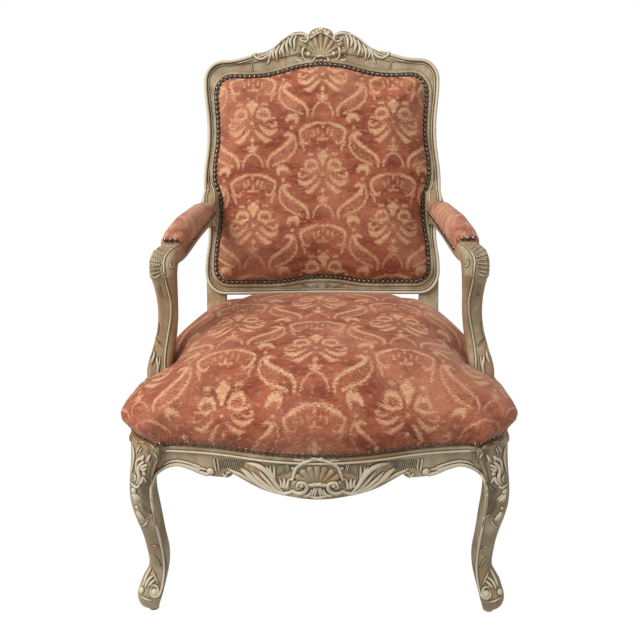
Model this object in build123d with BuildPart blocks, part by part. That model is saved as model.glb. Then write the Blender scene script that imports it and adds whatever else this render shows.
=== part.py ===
"""A carved and upholstered open armchair of the eighteenth-century French kind, with a flat back.

Millimetres. +Z is up, the sitter faces -Y, and the origin is on the floor under the middle of the chair.
Plan sketches use y = 0 at the face of the back, at seat level, with the front at negative y.
Back sketches use x across and y up along the leaning back, from seat level.
"""

import math
import os

from build123d import *

os.makedirs("parts", exist_ok=True)

# Overall sizes
SEAT_LEVEL = 450.0  # height at which the back's face stands at y = 0 of the plan
BACK_LEAN = 15.6  # degrees from upright
SEAT_DEPTH = 557.0  # back's face to the middle of the bowed front
FRONT_HALF = 333.0  # half width over the front corners
REAR_HALF = 271.0  # half width over the seat where it meets the back posts
BACK_HEIGHT = 636.0  # seat level to the top of the crest, along the back

# Seat frame
LEDGE_Z = 373.0  # top of the show wood, where the seat cover ends
RAIL_TOP = 410.0
RAIL_WIDTH = 36.0  # thickness of the seat rails in plan
SHOW_STEP = 3.0  # show wood stands this far outside the cover
MOULDING_HEIGHT = 10.0  # band of moulding under the ledge
GROUND_STEP = 3.0  # carved ground lies this far behind that moulding
APRON_CENTRE_Z = 294.0  # lowest point of the front apron
ARCH_Z = 333.0  # top of the arch beside each front leg, under the front apron
SIDE_ARCH_Z = 346.0  # top of the arch behind each front leg, under the side apron
SIDE_APRON_Z = 328.0  # lowest point of the side aprons
BACK_RAIL_THICK = 30.0
BACK_RAIL_LOW = 345.0
LEG_JOINT_X = 272.0  # inner edge of the front legs at the ledge
LEG_JOINT_Y = -458.0  # rear edge of the front legs at the ledge
POST_INNER = 222.0  # inner face of the back posts at the seat rails
POST_FRONT = -4.0
POST_REAR = 42.0
POST_GAP = 6.0  # the seat stands clear of the posts by this

# Joints
FIT = 0.2  # clearance round tenons, laps and dowels
TENON_LENGTH = 26.0
REAR_TENON_LENGTH = 16.0  # of the back seat rail, short of the side rail's tenon
TENON_THICK = 12.0
TENON_HEIGHT = 36.0
PEG_RADIUS = 3.0
PEG_LENGTH = 46.0
SCREW_RADIUS = 2.5
SCREW_HEAD = 5.0
SCREW_LENGTH = 36.0
SCREW_HEAD_HEIGHT = 3.0
DOWEL_RADIUS = 6.0
DOWEL_LENGTH = 50.0
BLOCK_HEIGHT = 38.0

# Back frame
FRAME_THICK = 36.0
FRAME_UNDER = 14.0  # frame hidden under the cover, inside the nail line
NAIL_BAND = 5.0  # the cover's flat border, each side of the nail line
REBATE = 3.0
BEAD_WIDTH = 8.0
COVE_DEPTH = 3.5
CREST_JOINT = 496.0  # height of the joint between the stiles and the crest rail
LOWER_JOINT = 226.0  # half width of the lower back rail between the stiles
ARM_HEIGHT = 252.0  # height of the arm's joint up the back
ARM_BLOCK = 74.0  # flat block left on the stile for the arm
SHELL_FLUTES = 9
SHELL_FAN = 76.0  # degrees from the middle flute to the last
FLUTE_ROOT = 2.0
FLUTE_TIP = 6.0

# Arms
ARM_END_Z = 620.0  # joint between the arm's knuckle and its support
LAP_Z = 389.0  # foot of the support's lap in the side rail
LAP_INNER_X = 303.0
LAP_WIDTH = 34.0
SUPPORT_FORWARD = 300.0  # how far the support's foot stands in front of the back's face

# Upholstery
COVER = 2.0
SEAT_CROWN = 512.0
WEB_WIDTH = 52.0
WEB_THICK = 1.5
HESSIAN = 1.2
BACK_CROWN = 44.0
PAD_RISE = 24.0  # arm pad above the arm
PAD_SIDE = 4.0  # arm pad beyond the arm's sides
NAIL_PITCH = 11.0
NAIL_RADIUS = 4.8
NAIL_RISE = 3.2

# Where the back's face stands, so that the chair's box is centred on the origin
LEAN = math.radians(BACK_LEAN)
REACH_FRONT = SEAT_DEPTH + FLUTE_TIP
REACH_REAR = BACK_HEIGHT * math.sin(LEAN) + FRAME_THICK * math.cos(LEAN)
BACK_FACE_Y = (REACH_FRONT - REACH_REAR) / 2


# Planes


def level(z):
    """Plan plane at height z."""
    return Plane((0, BACK_FACE_Y, z))


BACK = Plane((0, BACK_FACE_Y, SEAT_LEVEL), x_dir=(1, 0, 0), z_dir=(0, -math.cos(LEAN), math.sin(LEAN)))
FRONT_VIEW = Plane((0, BACK_FACE_Y, 0), x_dir=(1, 0, 0), z_dir=(0, -1, 0))
SIDE_VIEW = Plane((0, BACK_FACE_Y, 0), x_dir=(0, 1, 0), z_dir=(1, 0, 0))


def spot(x, y, z):
    """Point of the chair from plan coordinates and a height."""
    return Vector(x, y + BACK_FACE_Y, z)


def back_spot(x, y, out=0.0):
    """Point of the chair from coordinates on the leaning back."""
    return BACK.from_local_coords(Vector(x, y, out))


# Flowing outlines: nodes are (x, y, heading) or, at a cusp, (x, y, heading in, heading out)


def unit(heading):
    return Vector(math.cos(math.radians(heading)), math.sin(math.radians(heading)))


def bend(start, end, tangent):
    """One arc, or a straight line, that leaves start along tangent."""
    if abs(tangent.cross(end - start).Z) < 1e-4 * (end - start).length:
        Line(start, end)
    else:
        TangentArc(start, end, tangent=tangent)


def flow(nodes):
    """Smooth line of tangent arcs, two between each node and the next."""
    for here, there in zip(nodes, nodes[1:]):
        a, b = Vector(here[0], here[1]), Vector(there[0], there[1])
        leave, arrive = unit(here[-1]), unit(there[2])
        chord, both = b - a, leave + arrive
        spread = 2 * (1 - leave.dot(arrive))
        along = chord.dot(both)
        if spread < 1e-6:
            reach = chord.dot(chord) / (2 * along)
        else:
            reach = (math.sqrt(along**2 + spread * chord.dot(chord)) - along) / spread
        first, second = a + leave * reach, b - arrive * reach
        meet = (first + second) * 0.5
        bend(a, meet, leave)
        bend(meet, b, (second - first).normalized())


def shifted(nodes, inset):
    """The parallel line, inset to the left of its headings."""
    moved = []
    for node in nodes:
        left_in = unit(node[2] + 90)
        left_out = unit(node[-1] + 90)
        step = (left_in + left_out) * (inset / (1 + left_in.dot(left_out)))
        moved.append((node[0] + step.X, node[1] + step.Y, *node[2:]))
    return moved


def scaled(nodes, share, middle):
    """The same line, shrunk towards a point on the middle line."""
    return [(n[0] * share, middle + (n[1] - middle) * share, *n[2:]) for n in nodes]


def outline(nodes):
    """Face inside a symmetric outline, from the nodes of its right half."""
    with BuildSketch() as face:
        with BuildLine():
            flow(nodes)
            mirror(about=Plane.YZ)
        make_face()
    return face.sketch


def band(nodes, outer, inner):
    """Face between two lines parallel to the nodes' line."""
    near, far = shifted(nodes, outer), shifted(nodes, inner)
    back_again = [(n[0], n[1], *(h + 180 for h in reversed(n[2:]))) for n in reversed(far)]
    with BuildSketch() as face:
        with BuildLine():
            flow(near)
            Line(near[-1][:2], far[-1][:2])
            flow(back_again)
            Line(far[0][:2], near[0][:2])
        make_face()
    return face.sketch


def save(piece, name):
    piece.label = name
    export_step(piece, f"parts/{name}.step")


# Seat outline along the nail line, right half, from the middle of the front

CORNER_X = FRONT_HALF - 61.0


def front_edge():
    return [(0, -SEAT_DEPTH, 0), (CORNER_X - 22, 43 - SEAT_DEPTH, 4)]


def side_edge():
    return [
        (FRONT_HALF, 102 - SEAT_DEPTH, 86),
        (FRONT_HALF - 1, 157 - SEAT_DEPTH, 93),
        (FRONT_HALF - 19, 332 - SEAT_DEPTH, 99),
        (REAR_HALF, POST_FRONT - POST_GAP, 104),
    ]


def seat_edge(soft=0.0):
    """Whole half outline. The cusp at the leg is sharp at the nails and soft higher up."""
    cusp_in, cusp_out = -25 * (1 - soft) + 14 * soft, 50 * (1 - soft) + 14 * soft
    cusp = (CORNER_X, 34 - SEAT_DEPTH + 6 * soft, cusp_in, cusp_out)
    turn = (FRONT_HALF - 15, 73 - SEAT_DEPTH, 42)
    post_x, post_y = POST_INNER - POST_GAP, POST_FRONT - POST_GAP
    rear = [
        (*side_edge()[-1], 180),
        (post_x, post_y, 180, 90),
        (post_x, BACK_RAIL_THICK, 90, 180),
        (0, BACK_RAIL_THICK, 180),
    ]
    return [*front_edge(), cusp, turn, *side_edge()[:-1], *rear]


SEAT_MIDDLE = (BACK_RAIL_THICK - SEAT_DEPTH) / 2

# Back outlines, right half, from the middle of the bottom

BACK_TOP = BACK_HEIGHT - 70.0  # top of the rounded shoulders


def nail_edge():
    return [
        (0, 73, 0),
        (125, 61, 0),
        (215, 61, 0),
        (246, 92, 90),
        (232, 240, 90),
        (246, 308, 90),
        (236, 407, 90),
        (240, BACK_TOP - 76, 90),
        (203, BACK_TOP - 36, 180),
        (164, BACK_TOP - 37, 180),
        (0, BACK_TOP - 11, 180),
    ]


def frame_edge():
    return [
        (0, 34, 0),
        (225, 32, 0),
        (271, 84, 90),
        (262, 182, 90),
        (272, 280, 90),
        (261, 407, 90),
        (268, BACK_TOP - 48, 90),
        (222, BACK_TOP, 180),
    ]


def crest_edge():
    """Outer line of the whole back frame, with the carved crest."""
    crest = [
        (158, BACK_TOP + 12, 160),
        (120, BACK_TOP + 21, 155),
        (88, BACK_TOP + 44, 148),
        (50, BACK_TOP + 62, 180),
        (28, BACK_TOP + 54, 215, 100),
        (0, BACK_HEIGHT, 180),
    ]
    return [*frame_edge(), *crest]


def cove_edge():
    """Line where the outer bead of the back frame ends and the cove starts."""
    return [*shifted(frame_edge(), BEAD_WIDTH), (150, BACK_TOP - 4, 170), (0, BACK_TOP + 16, 180)]


# Front legs: cabriole
# Sections are (z, inner x, outer x, front y, rear y, reach of the outer corner, fullness of that corner)

LEG_SECTIONS = [
    (373, 272, 334, -527, -458, 58, 0.4),
    (345, 277, 333, -527, -463, 46, 0.6),
    (305, 290, 334.5, -525, -477, 30, 0.9),
    (250, 292, 336.5, -521, -475, 26, 1.0),
    (200, 289.5, 328, -511, -468, 22, 1.0),
    (150, 286.5, 322, -499, -461, 19, 1.0),
    (115, 285.5, 320.5, -493, -458, 17, 1.0),
    (88, 288.5, 327, -498, -460, 19, 1.0),
    (60, 295, 342, -513, -464, 24, 1.0),
    (34, 302, 342, -513, -468, 21, 1.0),
    (18, 309, 334, -497, -463, 13, 1.0),
]
FOOT_PAD_RADIUS = 9.5
FOOT_PAD_SPOT = (321.5, -474.0)
FOOT_PAD_HEIGHT = 18.0


def leg_section(z, inner, outer, front, rear, reach, fullness):
    """A rectangle with one bowed corner, from a straight cant at fullness 0 to a quarter circle at 1."""
    cut = reach * (0.5 - (math.sqrt(0.5) - 0.5) * fullness)
    with BuildSketch(level(z)) as section:
        with BuildLine():
            Line((inner, rear), (inner, front))
            Line((inner, front), (outer - reach, front))
            ThreePointArc((outer - reach, front), (outer - cut, front + cut), (outer, front + reach))
            Line((outer, front + reach), (outer, rear))
            Line((outer, rear), (inner, rear))
        make_face()
    return section.sketch


FRONT_TENON = (LEG_JOINT_X + TENON_LENGTH / 2 - 2, 68 - SEAT_DEPTH, RAIL_TOP - 32)
SIDE_TENON = (FRONT_HALF - 26, LEG_JOINT_Y - TENON_LENGTH / 2 + 6, RAIL_TOP - 32)
REAR_SIDE_TENON = (247, POST_FRONT + TENON_LENGTH / 2 - 4, RAIL_TOP - 32)
BACK_RAIL_TENON = (POST_INNER + REAR_TENON_LENGTH / 2 - 3, BACK_RAIL_THICK / 2 + 3, RAIL_TOP - 32)

# Pegs through the tenons: (x, y, z, direction), from a middle point on the right-hand side

PEGS = [
    (FRONT_TENON[0], FRONT_TENON[1] - 8, RAIL_TOP - 26, (0, 1, 0)),
    (SIDE_TENON[0] + 8, SIDE_TENON[1], RAIL_TOP - 26, (1, 0, 0)),
    (REAR_SIDE_TENON[0] + 10, REAR_SIDE_TENON[1] + 4, RAIL_TOP - 40, (1, 0, 0)),
    (BACK_RAIL_TENON[0], BACK_RAIL_TENON[1] + 10, RAIL_TOP - 24, (0, 1, 0)),
]

# Screws: (x, y, z, direction), from the seat of the head, on the right-hand side

BLOCK_Z = RAIL_TOP - 26
BLOCK_SCREWS = [
    (CORNER_X - 40, 95 - SEAT_DEPTH, BLOCK_Z, (0, -1, 0)),
    (FRONT_HALF - 56, 137 - SEAT_DEPTH, BLOCK_Z, (1, 0, 0)),
    (POST_INNER - 32, POST_FRONT - 10, BLOCK_Z, (0, 1, 0)),
    (REAR_HALF - 43, POST_FRONT - 46, BLOCK_Z, (1, 0, 0)),
]
SUPPORT_SCREWS = [
    (LAP_INNER_X - 6, 12 - SUPPORT_FORWARD, LAP_Z + 10, (1, 0, 0)),
    (LAP_INNER_X - 6, -12 - SUPPORT_FORWARD, LAP_Z + 10, (1, 0, 0)),
]


def both_sides(rows):
    """The same rows, then their mirror images."""
    flipped = [(-x, y, z, (-d[0], d[1], d[2])) for x, y, z, d in rows]
    return [*rows, *flipped]


def pegs(rows):
    with BuildPart() as bores:
        for x, y, z, direction in rows:
            with Locations(Plane(spot(x, y, z), z_dir=direction)):
                Cylinder(PEG_RADIUS, PEG_LENGTH)
    return bores.part


def screws(rows, access=0.0):
    """Screws with flat heads. access lengthens each head, to bore the hole that lets it in."""
    with BuildPart() as driven:
        for x, y, z, direction in rows:
            with Locations(Plane(spot(x, y, z), z_dir=direction)):
                Cylinder(SCREW_RADIUS, SCREW_LENGTH, align=(Align.CENTER, Align.CENTER, Align.MIN))
                Cylinder(SCREW_HEAD, SCREW_HEAD_HEIGHT + access, align=(Align.CENTER, Align.CENTER, Align.MAX))
    return driven.part


with BuildPart() as leg_blank:
    loft(sections=[leg_section(*row) for row in LEG_SECTIONS])
    with BuildSketch(level(LEDGE_Z)):
        add(outline(shifted(seat_edge(), COVER + FIT)))
        with Locations((LEG_JOINT_X + 50, LEG_JOINT_Y - 50)):
            Rectangle(100, 100, mode=Mode.INTERSECT)
    extrude(amount=RAIL_TOP - LEDGE_Z)
    with BuildSketch(level(0)):
        with Locations(FOOT_PAD_SPOT):
            Circle(FOOT_PAD_RADIUS)
    extrude(amount=FOOT_PAD_HEIGHT)

with BuildPart() as front_leg_right:
    add(leg_blank.part)
    with Locations(spot(*FRONT_TENON)):
        Box(TENON_LENGTH + 2 * FIT, TENON_THICK + 2 * FIT, TENON_HEIGHT + 2 * FIT, mode=Mode.SUBTRACT)
    with Locations(spot(*SIDE_TENON)):
        Box(TENON_THICK + 2 * FIT, TENON_LENGTH + 2 * FIT, TENON_HEIGHT + 2 * FIT, mode=Mode.SUBTRACT)
    add(pegs(PEGS[:2]), mode=Mode.SUBTRACT)

# Back posts: a moulded stile in the leaning back, and the raked rear leg below, in one piece of wood
# Leg sections are (z, inner x, outer x, front y, rear y)

POST_SECTIONS = [
    (462, 225, 269, 8, 40),
    (425, POST_INNER, 270, POST_FRONT, POST_REAR),
    (345, POST_INNER, 270, POST_FRONT, POST_REAR),
    (250, 227, 268, 6, 47),
    (120, 231, 266, 36, 70),
    (40, 230, 266, 60, 95),
    (0, 231, 264, 67, 99),
]


def post_section(z, inner, outer, front, rear):
    with BuildSketch(level(z)) as section:
        with Locations(((inner + outer) / 2, (front + rear) / 2)):
            RectangleRounded(outer - inner, rear - front, 7)
    return section.sketch


with BuildPart() as back_ring:
    with BuildSketch(BACK):
        add(outline(crest_edge()))
        add(outline(shifted(nail_edge(), FRAME_UNDER)), mode=Mode.SUBTRACT)
    extrude(amount=-FRAME_THICK)
    with BuildSketch(BACK):
        add(outline(shifted(nail_edge(), -NAIL_BAND)))
    extrude(amount=-REBATE, mode=Mode.SUBTRACT)
    with BuildSketch(BACK):
        add(outline(cove_edge()))
        add(outline(shifted(nail_edge(), -NAIL_BAND - 4)), mode=Mode.SUBTRACT)
        with Locations((-LOWER_JOINT - 24, ARM_HEIGHT), (LOWER_JOINT + 24, ARM_HEIGHT)):
            Rectangle(60, ARM_BLOCK, mode=Mode.SUBTRACT)
    extrude(amount=-COVE_DEPTH, mode=Mode.SUBTRACT)
    with BuildSketch(BACK.offset(-FRAME_THICK)):
        add(outline(shifted(nail_edge(), -NAIL_BAND)))
    extrude(amount=REBATE, mode=Mode.SUBTRACT)

CREST_TENON = (LOWER_JOINT + 24, CREST_JOINT + TENON_LENGTH / 2 - 1, -FRAME_THICK / 2)
LOWER_TENON = (LOWER_JOINT + TENON_LENGTH / 2 - 3, 52, -FRAME_THICK / 2)
LOWER_TENON_HEIGHT = 18.0
ARM_TENON = (LOWER_JOINT + 28, ARM_HEIGHT, -TENON_LENGTH / 2)


def back_place(x, y, out):
    """Location on the leaning back, turned with it."""
    return BACK * Location((x, y, out))


with BuildPart() as post_blank:
    with BuildSketch(BACK):
        with Locations((LOWER_JOINT + 50, CREST_JOINT / 2)):
            Rectangle(100, CREST_JOINT)
    extrude(amount=-FRAME_THICK)
    add(back_ring.part, mode=Mode.INTERSECT)
    with BuildSketch(BACK.offset(-5)):
        with Locations((LOWER_JOINT + 21.5, 40)):
            Rectangle(43, 90)
    extrude(amount=5 - FRAME_THICK + REBATE)
    loft(sections=[post_section(*row) for row in POST_SECTIONS])

with BuildPart() as back_post_right:
    add(post_blank.part)
    with Locations(spot(*REAR_SIDE_TENON)):
        Box(TENON_THICK + 2 * FIT, TENON_LENGTH + 2 * FIT, TENON_HEIGHT + 2 * FIT, mode=Mode.SUBTRACT)
    with Locations(spot(*BACK_RAIL_TENON)):
        Box(REAR_TENON_LENGTH + 2 * FIT, TENON_THICK + 2 * FIT, TENON_HEIGHT + 2 * FIT, mode=Mode.SUBTRACT)
    with Locations(back_place(*LOWER_TENON)):
        Box(TENON_LENGTH + 2 * FIT, LOWER_TENON_HEIGHT + 2 * FIT, TENON_THICK + 2 * FIT, mode=Mode.SUBTRACT)
    with Locations(back_place(*ARM_TENON)):
        Box(18 + 2 * FIT, 18 + 2 * FIT, TENON_LENGTH + 2 * FIT, mode=Mode.SUBTRACT)
    with Locations(back_place(*CREST_TENON)):
        Box(18, TENON_LENGTH, TENON_THICK)
    add(pegs(PEGS[2:]), mode=Mode.SUBTRACT)

# Carved shells: tapered flutes that fan out from a root


def shell(root, across, up, out, length):
    """Half-sunk flutes with round ends, in the plane of across and up, facing out."""
    angles = [math.radians(SHELL_FAN * (2 * i / (SHELL_FLUTES - 1) - 1)) for i in range(SHELL_FLUTES)]
    runs = [across * math.sin(angle) + up * math.cos(angle) for angle in angles]
    with BuildPart() as flutes:
        with Locations(*[Plane(root + run * (length / 2), x_dir=out, z_dir=run) for run in runs]):
            Cone(FLUTE_ROOT, FLUTE_TIP, length)
        with Locations(*[root + run * length for run in runs]):
            Sphere(FLUTE_TIP)
    return flutes.part


with BuildPart() as crest_rail:
    with BuildSketch(BACK):
        with Locations((0, CREST_JOINT + 100)):
            Rectangle(700, 200)
    extrude(amount=-FRAME_THICK)
    add(back_ring.part, mode=Mode.INTERSECT)
    add(shell(back_spot(0, BACK_TOP + 4), BACK.x_dir, BACK.y_dir, BACK.z_dir, 54))
    for side in (-1, 1):
        with Locations(back_place(side * CREST_TENON[0], CREST_TENON[1], CREST_TENON[2])):
            Box(18 + 2 * FIT, TENON_LENGTH + 2 * FIT, TENON_THICK + 2 * FIT, mode=Mode.SUBTRACT)

with BuildPart() as lower_back_rail:
    with BuildSketch(BACK):
        with Locations((0, 60)):
            Rectangle(2 * LOWER_JOINT, 120)
    extrude(amount=-FRAME_THICK)
    add(back_ring.part, mode=Mode.INTERSECT)
    for side in (-1, 1):
        with Locations(back_place(side * LOWER_TENON[0], LOWER_TENON[1], LOWER_TENON[2])):
            Box(TENON_LENGTH, LOWER_TENON_HEIGHT, TENON_THICK)

# Seat rails: sawn to the plan, then to the elevation


def scribed(body, neighbours):
    """A body cut to fit against its neighbours, without the offcuts beyond them."""
    with BuildPart() as cut:
        add(body)
        for neighbour in neighbours:
            add(neighbour, mode=Mode.SUBTRACT)
    return cut.solids().sort_by(SortBy.VOLUME)[-1]


def rail_body(nodes, low):
    """Three layers of a rail: carved ground, moulding under the ledge, and the part under the cover."""
    ground_top = LEDGE_Z - MOULDING_HEIGHT
    with BuildPart() as rail:
        with BuildSketch(level(low)):
            add(band(nodes, GROUND_STEP - SHOW_STEP, RAIL_WIDTH))
        extrude(amount=ground_top - low)
        with BuildSketch(level(ground_top)):
            add(band(nodes, -SHOW_STEP, RAIL_WIDTH))
        extrude(amount=MOULDING_HEIGHT)
        with BuildSketch(level(LEDGE_Z)):
            add(band(nodes, COVER + 2 * FIT, RAIL_WIDTH))
        extrude(amount=RAIL_TOP - LEDGE_Z)
    return rail.part


def apron_edge():
    """Lower line of the front apron, right half, seen from the front."""
    return [
        (0, APRON_CENTRE_Z, 0),
        (60, APRON_CENTRE_Z + 6, 9),
        (98, APRON_CENTRE_Z + 14, 19),
        (146, ARCH_Z - 4, 24, -35),
        (170, ARCH_Z - 14, 0),
        (192, ARCH_Z - 13, 14),
        (249, ARCH_Z, 0),
        (LEG_JOINT_X + 22, ARCH_Z - 33, -70),
    ]


front_line = [*front_edge(), (LEG_JOINT_X + 22, 45 - SEAT_DEPTH, 8)]

with BuildPart() as front_rail_blank:
    add(rail_body([*[(-x, y, -h) for x, y, h in reversed(front_line[1:])], *front_line], APRON_CENTRE_Z - 2))
    with BuildSketch(FRONT_VIEW):
        with BuildLine():
            flow(apron_edge())
            corner = apron_edge()[-1]
            Line(corner[:2], (corner[0], RAIL_TOP))
            Line((corner[0], RAIL_TOP), (0, RAIL_TOP))
            mirror(about=Plane.YZ)
        make_face()
    extrude(amount=SEAT_DEPTH + 50, mode=Mode.INTERSECT)

with BuildPart() as front_seat_rail:
    other_leg = mirror(leg_blank.part, about=Plane.YZ, mode=Mode.PRIVATE)
    add(scribed(front_rail_blank.part, [leg_blank.part, other_leg]))
    apron_root = spot(0, GROUND_STEP - SHOW_STEP - SEAT_DEPTH, APRON_CENTRE_Z + 24)
    add(shell(apron_root, Vector(1, 0, 0), Vector(0, 0, 1), Vector(0, -1, 0), 38))
    for side in (-1, 1):
        with Locations(spot(side * FRONT_TENON[0], FRONT_TENON[1], FRONT_TENON[2])):
            Box(TENON_LENGTH, TENON_THICK, TENON_HEIGHT)
    add(pegs(both_sides(PEGS[:1])), mode=Mode.SUBTRACT)
    add(screws(both_sides(BLOCK_SCREWS[:1])), mode=Mode.SUBTRACT)


def side_apron_edge():
    """Lower line of a side apron, seen from the side, from the front leg to the back post."""
    return [
        (LEG_JOINT_Y - 22, SIDE_ARCH_Z - 26, 70),
        (LEG_JOINT_Y + 26, SIDE_ARCH_Z, 0),
        (-230, SIDE_APRON_Z, 0),
        (-40, SIDE_ARCH_Z - 2, 0),
        (POST_FRONT + 20, SIDE_ARCH_Z - 6, -20),
    ]


LAP_DEPTH = 46.0

with BuildPart() as side_rail_blank:
    front_end, rear_end = (FRONT_HALF - 2, 72 - SEAT_DEPTH, 86), (REAR_HALF - 6.5, POST_FRONT + 20, 104)
    side_line = [front_end, *side_edge()[1:], rear_end]
    add(rail_body(side_line, SIDE_APRON_Z - 2))
    with BuildSketch(SIDE_VIEW):
        with BuildLine():
            flow(side_apron_edge())
            first, last = side_apron_edge()[0], side_apron_edge()[-1]
            Line(last[:2], (last[0], RAIL_TOP))
            Line((last[0], RAIL_TOP), (first[0], RAIL_TOP))
            Line((first[0], RAIL_TOP), first[:2])
        make_face()
    extrude(amount=FRONT_HALF + 50, mode=Mode.INTERSECT)

with BuildPart() as side_seat_rail_right:
    add(scribed(side_rail_blank.part, [leg_blank.part, post_blank.part]))
    with Locations(spot(LAP_INNER_X - FIT + 50, -SUPPORT_FORWARD, LAP_Z + 50)):
        Box(100, LAP_DEPTH + 2 * FIT, 100, mode=Mode.SUBTRACT)
    with Locations(spot(*SIDE_TENON), spot(*REAR_SIDE_TENON)):
        Box(TENON_THICK, TENON_LENGTH, TENON_HEIGHT)
    add(pegs(PEGS[1:3]), mode=Mode.SUBTRACT)
    add(screws(BLOCK_SCREWS[1::2]), mode=Mode.SUBTRACT)
    add(screws(SUPPORT_SCREWS, access=20), mode=Mode.SUBTRACT)

with BuildPart() as back_rail_blank:
    with BuildSketch(level(BACK_RAIL_LOW)):
        with Locations((0, 6)):
            rail_depth = BACK_RAIL_THICK - COVER - 2 * FIT - 6
            Rectangle(2 * POST_INNER + 8, rail_depth, align=(Align.CENTER, Align.MIN))
    extrude(amount=RAIL_TOP - BACK_RAIL_LOW)

with BuildPart() as back_seat_rail:
    other_post = mirror(post_blank.part, about=Plane.YZ, mode=Mode.PRIVATE)
    add(scribed(back_rail_blank.part, [post_blank.part, other_post]))
    for side in (-1, 1):
        with Locations(spot(side * BACK_RAIL_TENON[0], BACK_RAIL_TENON[1], BACK_RAIL_TENON[2])):
            Box(REAR_TENON_LENGTH, TENON_THICK, TENON_HEIGHT)
    add(pegs(both_sides(PEGS[3:])), mode=Mode.SUBTRACT)
    add(screws(both_sides(BLOCK_SCREWS[2:3])), mode=Mode.SUBTRACT)

# Arms: sections are (x, y, z, tilt forward, turn outward, width, height)

ARM_ROOT = back_spot(LOWER_JOINT + 28, ARM_HEIGHT)
ARM_SECTIONS = [
    (LOWER_JOINT + 28, ARM_ROOT.Y - BACK_FACE_Y + 8, ARM_ROOT.Z, 6, 2, 36, 36),
    (256, 30, ARM_ROOT.Z - 11, 12, 3, 36, 35),
    (259, -20, ARM_ROOT.Z - 22, 9, 6, 37, 38),
    (275, -150, ARM_ROOT.Z - 36, 6, 7, 41, 42),
    (286.5, -240, ARM_ROOT.Z - 48, 14, 4, 43, 40),
    (290.5, -289, ARM_END_Z + 23, 48, 0, 48.5, 42),
    (291, -303, ARM_END_Z, 90, 0, 47.5, 42),
]


def arm_plane(x, y, z, tilt, turn):
    """Plane across the arm, facing forward and down its run."""
    down, out = math.radians(tilt), math.radians(turn)
    run = Vector(math.sin(out) * math.cos(down), -math.cos(out) * math.cos(down), -math.sin(down))
    return Plane(spot(x, y, z), x_dir=(math.cos(out), math.sin(out), 0), z_dir=run)


def arm_section(x, y, z, tilt, turn, width, height):
    with BuildSketch(arm_plane(x, y, z, tilt, turn)) as section:
        RectangleRounded(width, height, 11)
    return section.sketch


with BuildPart() as arm_blank:
    loft(sections=[arm_section(*row) for row in ARM_SECTIONS])
    arm_rear = arm_blank.faces().sort_by(Axis.Y)[-1]
    extrude(arm_rear, amount=40)
    split(bisect_by=BACK, keep=Keep.TOP)

KNUCKLE = (291, -303)

with BuildPart() as arm_right:
    add(arm_blank.part)
    with Locations(back_place(ARM_TENON[0], ARM_TENON[1], ARM_TENON[2])):
        Box(18, 18, TENON_LENGTH)
    with Locations(spot(*KNUCKLE, ARM_END_Z)):
        Cylinder(DOWEL_RADIUS + FIT / 2, DOWEL_LENGTH, mode=Mode.SUBTRACT)

# Arm supports: sections are (z, x, y, width, depth)

SUPPORT_SECTIONS = [
    (ARM_END_Z, *KNUCKLE, 46.5, 41),
    (580, 290.5, -292, 38, 37),
    (522, 295, -280, 36, 36),
    (488, 301, -281, 39, 37),
    (442, 311.5, -294, 46, 43),
    (RAIL_TOP + FIT, 313, -SUPPORT_FORWARD, 48, LAP_DEPTH),
]


def support_section(z, x, y, width, depth):
    with BuildSketch(level(z)) as section:
        with Locations((x, y)):
            RectangleRounded(width, depth, 10)
    return section.sketch


def support_body(grow=0.0):
    """The support with its lap, or the room that the seat leaves for it."""
    with BuildPart() as body:
        rows = [(z, x, y, width + 2 * grow, depth + 2 * grow) for z, x, y, width, depth in SUPPORT_SECTIONS]
        loft(sections=[support_section(*row) for row in rows])
        with BuildSketch(level(LAP_Z - 8 * grow)):
            with Locations((LAP_INNER_X + LAP_WIDTH / 2, -SUPPORT_FORWARD)):
                Rectangle(LAP_WIDTH + 2 * grow, LAP_DEPTH + 2 * grow)
        extrude(amount=RAIL_TOP + FIT - LAP_Z + 8 * grow)
    return body.part


with BuildPart() as arm_support_right:
    add(support_body())
    with Locations(spot(*KNUCKLE, ARM_END_Z)):
        Cylinder(DOWEL_RADIUS + FIT / 2, DOWEL_LENGTH, mode=Mode.SUBTRACT)
    add(screws(SUPPORT_SCREWS), mode=Mode.SUBTRACT)

with BuildPart() as arm_dowels:
    with Locations(*[spot(side * KNUCKLE[0], KNUCKLE[1], ARM_END_Z) for side in (-1, 1)]):
        Cylinder(DOWEL_RADIUS, DOWEL_LENGTH - 2)

# Corner blocks, screws and pegs


def corner_block(points, neighbours):
    """Three-cornered block, scribed to the rails and the leg or post beside it."""
    with BuildPart() as block:
        with BuildSketch(level(BLOCK_Z - BLOCK_HEIGHT / 2)):
            with BuildLine():
                Polyline(*points, close=True)
            make_face()
        extrude(amount=BLOCK_HEIGHT)
    bored = [neighbour.part for neighbour in neighbours]
    return scribed(block.part, [*bored, screws(BLOCK_SCREWS, access=60)])


FRONT_BLOCK = [
    (CORNER_X - 67, 52 - SEAT_DEPTH),
    (CORNER_X + 12, 56 - SEAT_DEPTH),
    (FRONT_HALF - 22, 92 - SEAT_DEPTH),
    (FRONT_HALF - 21, 162 - SEAT_DEPTH),
    (FRONT_HALF - 38, 162 - SEAT_DEPTH),
    (CORNER_X - 67, 79 - SEAT_DEPTH),
]
REAR_BLOCK = [
    (POST_INNER - 62, POST_FRONT + 18),
    (POST_INNER - 62, POST_FRONT + 10),
    (POST_INNER + 28, POST_FRONT - 72),
    (POST_INNER + 40, POST_FRONT - 72),
    (POST_INNER + 40, POST_FRONT + 18),
]

with BuildPart() as corner_block_front_right:
    add(corner_block(FRONT_BLOCK, [front_seat_rail, side_seat_rail_right, leg_blank]))

with BuildPart() as corner_block_rear_right:
    add(corner_block(REAR_BLOCK, [back_seat_rail, side_seat_rail_right, post_blank]))

with BuildPart() as corner_block_screws:
    add(screws(both_sides(BLOCK_SCREWS)))

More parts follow.
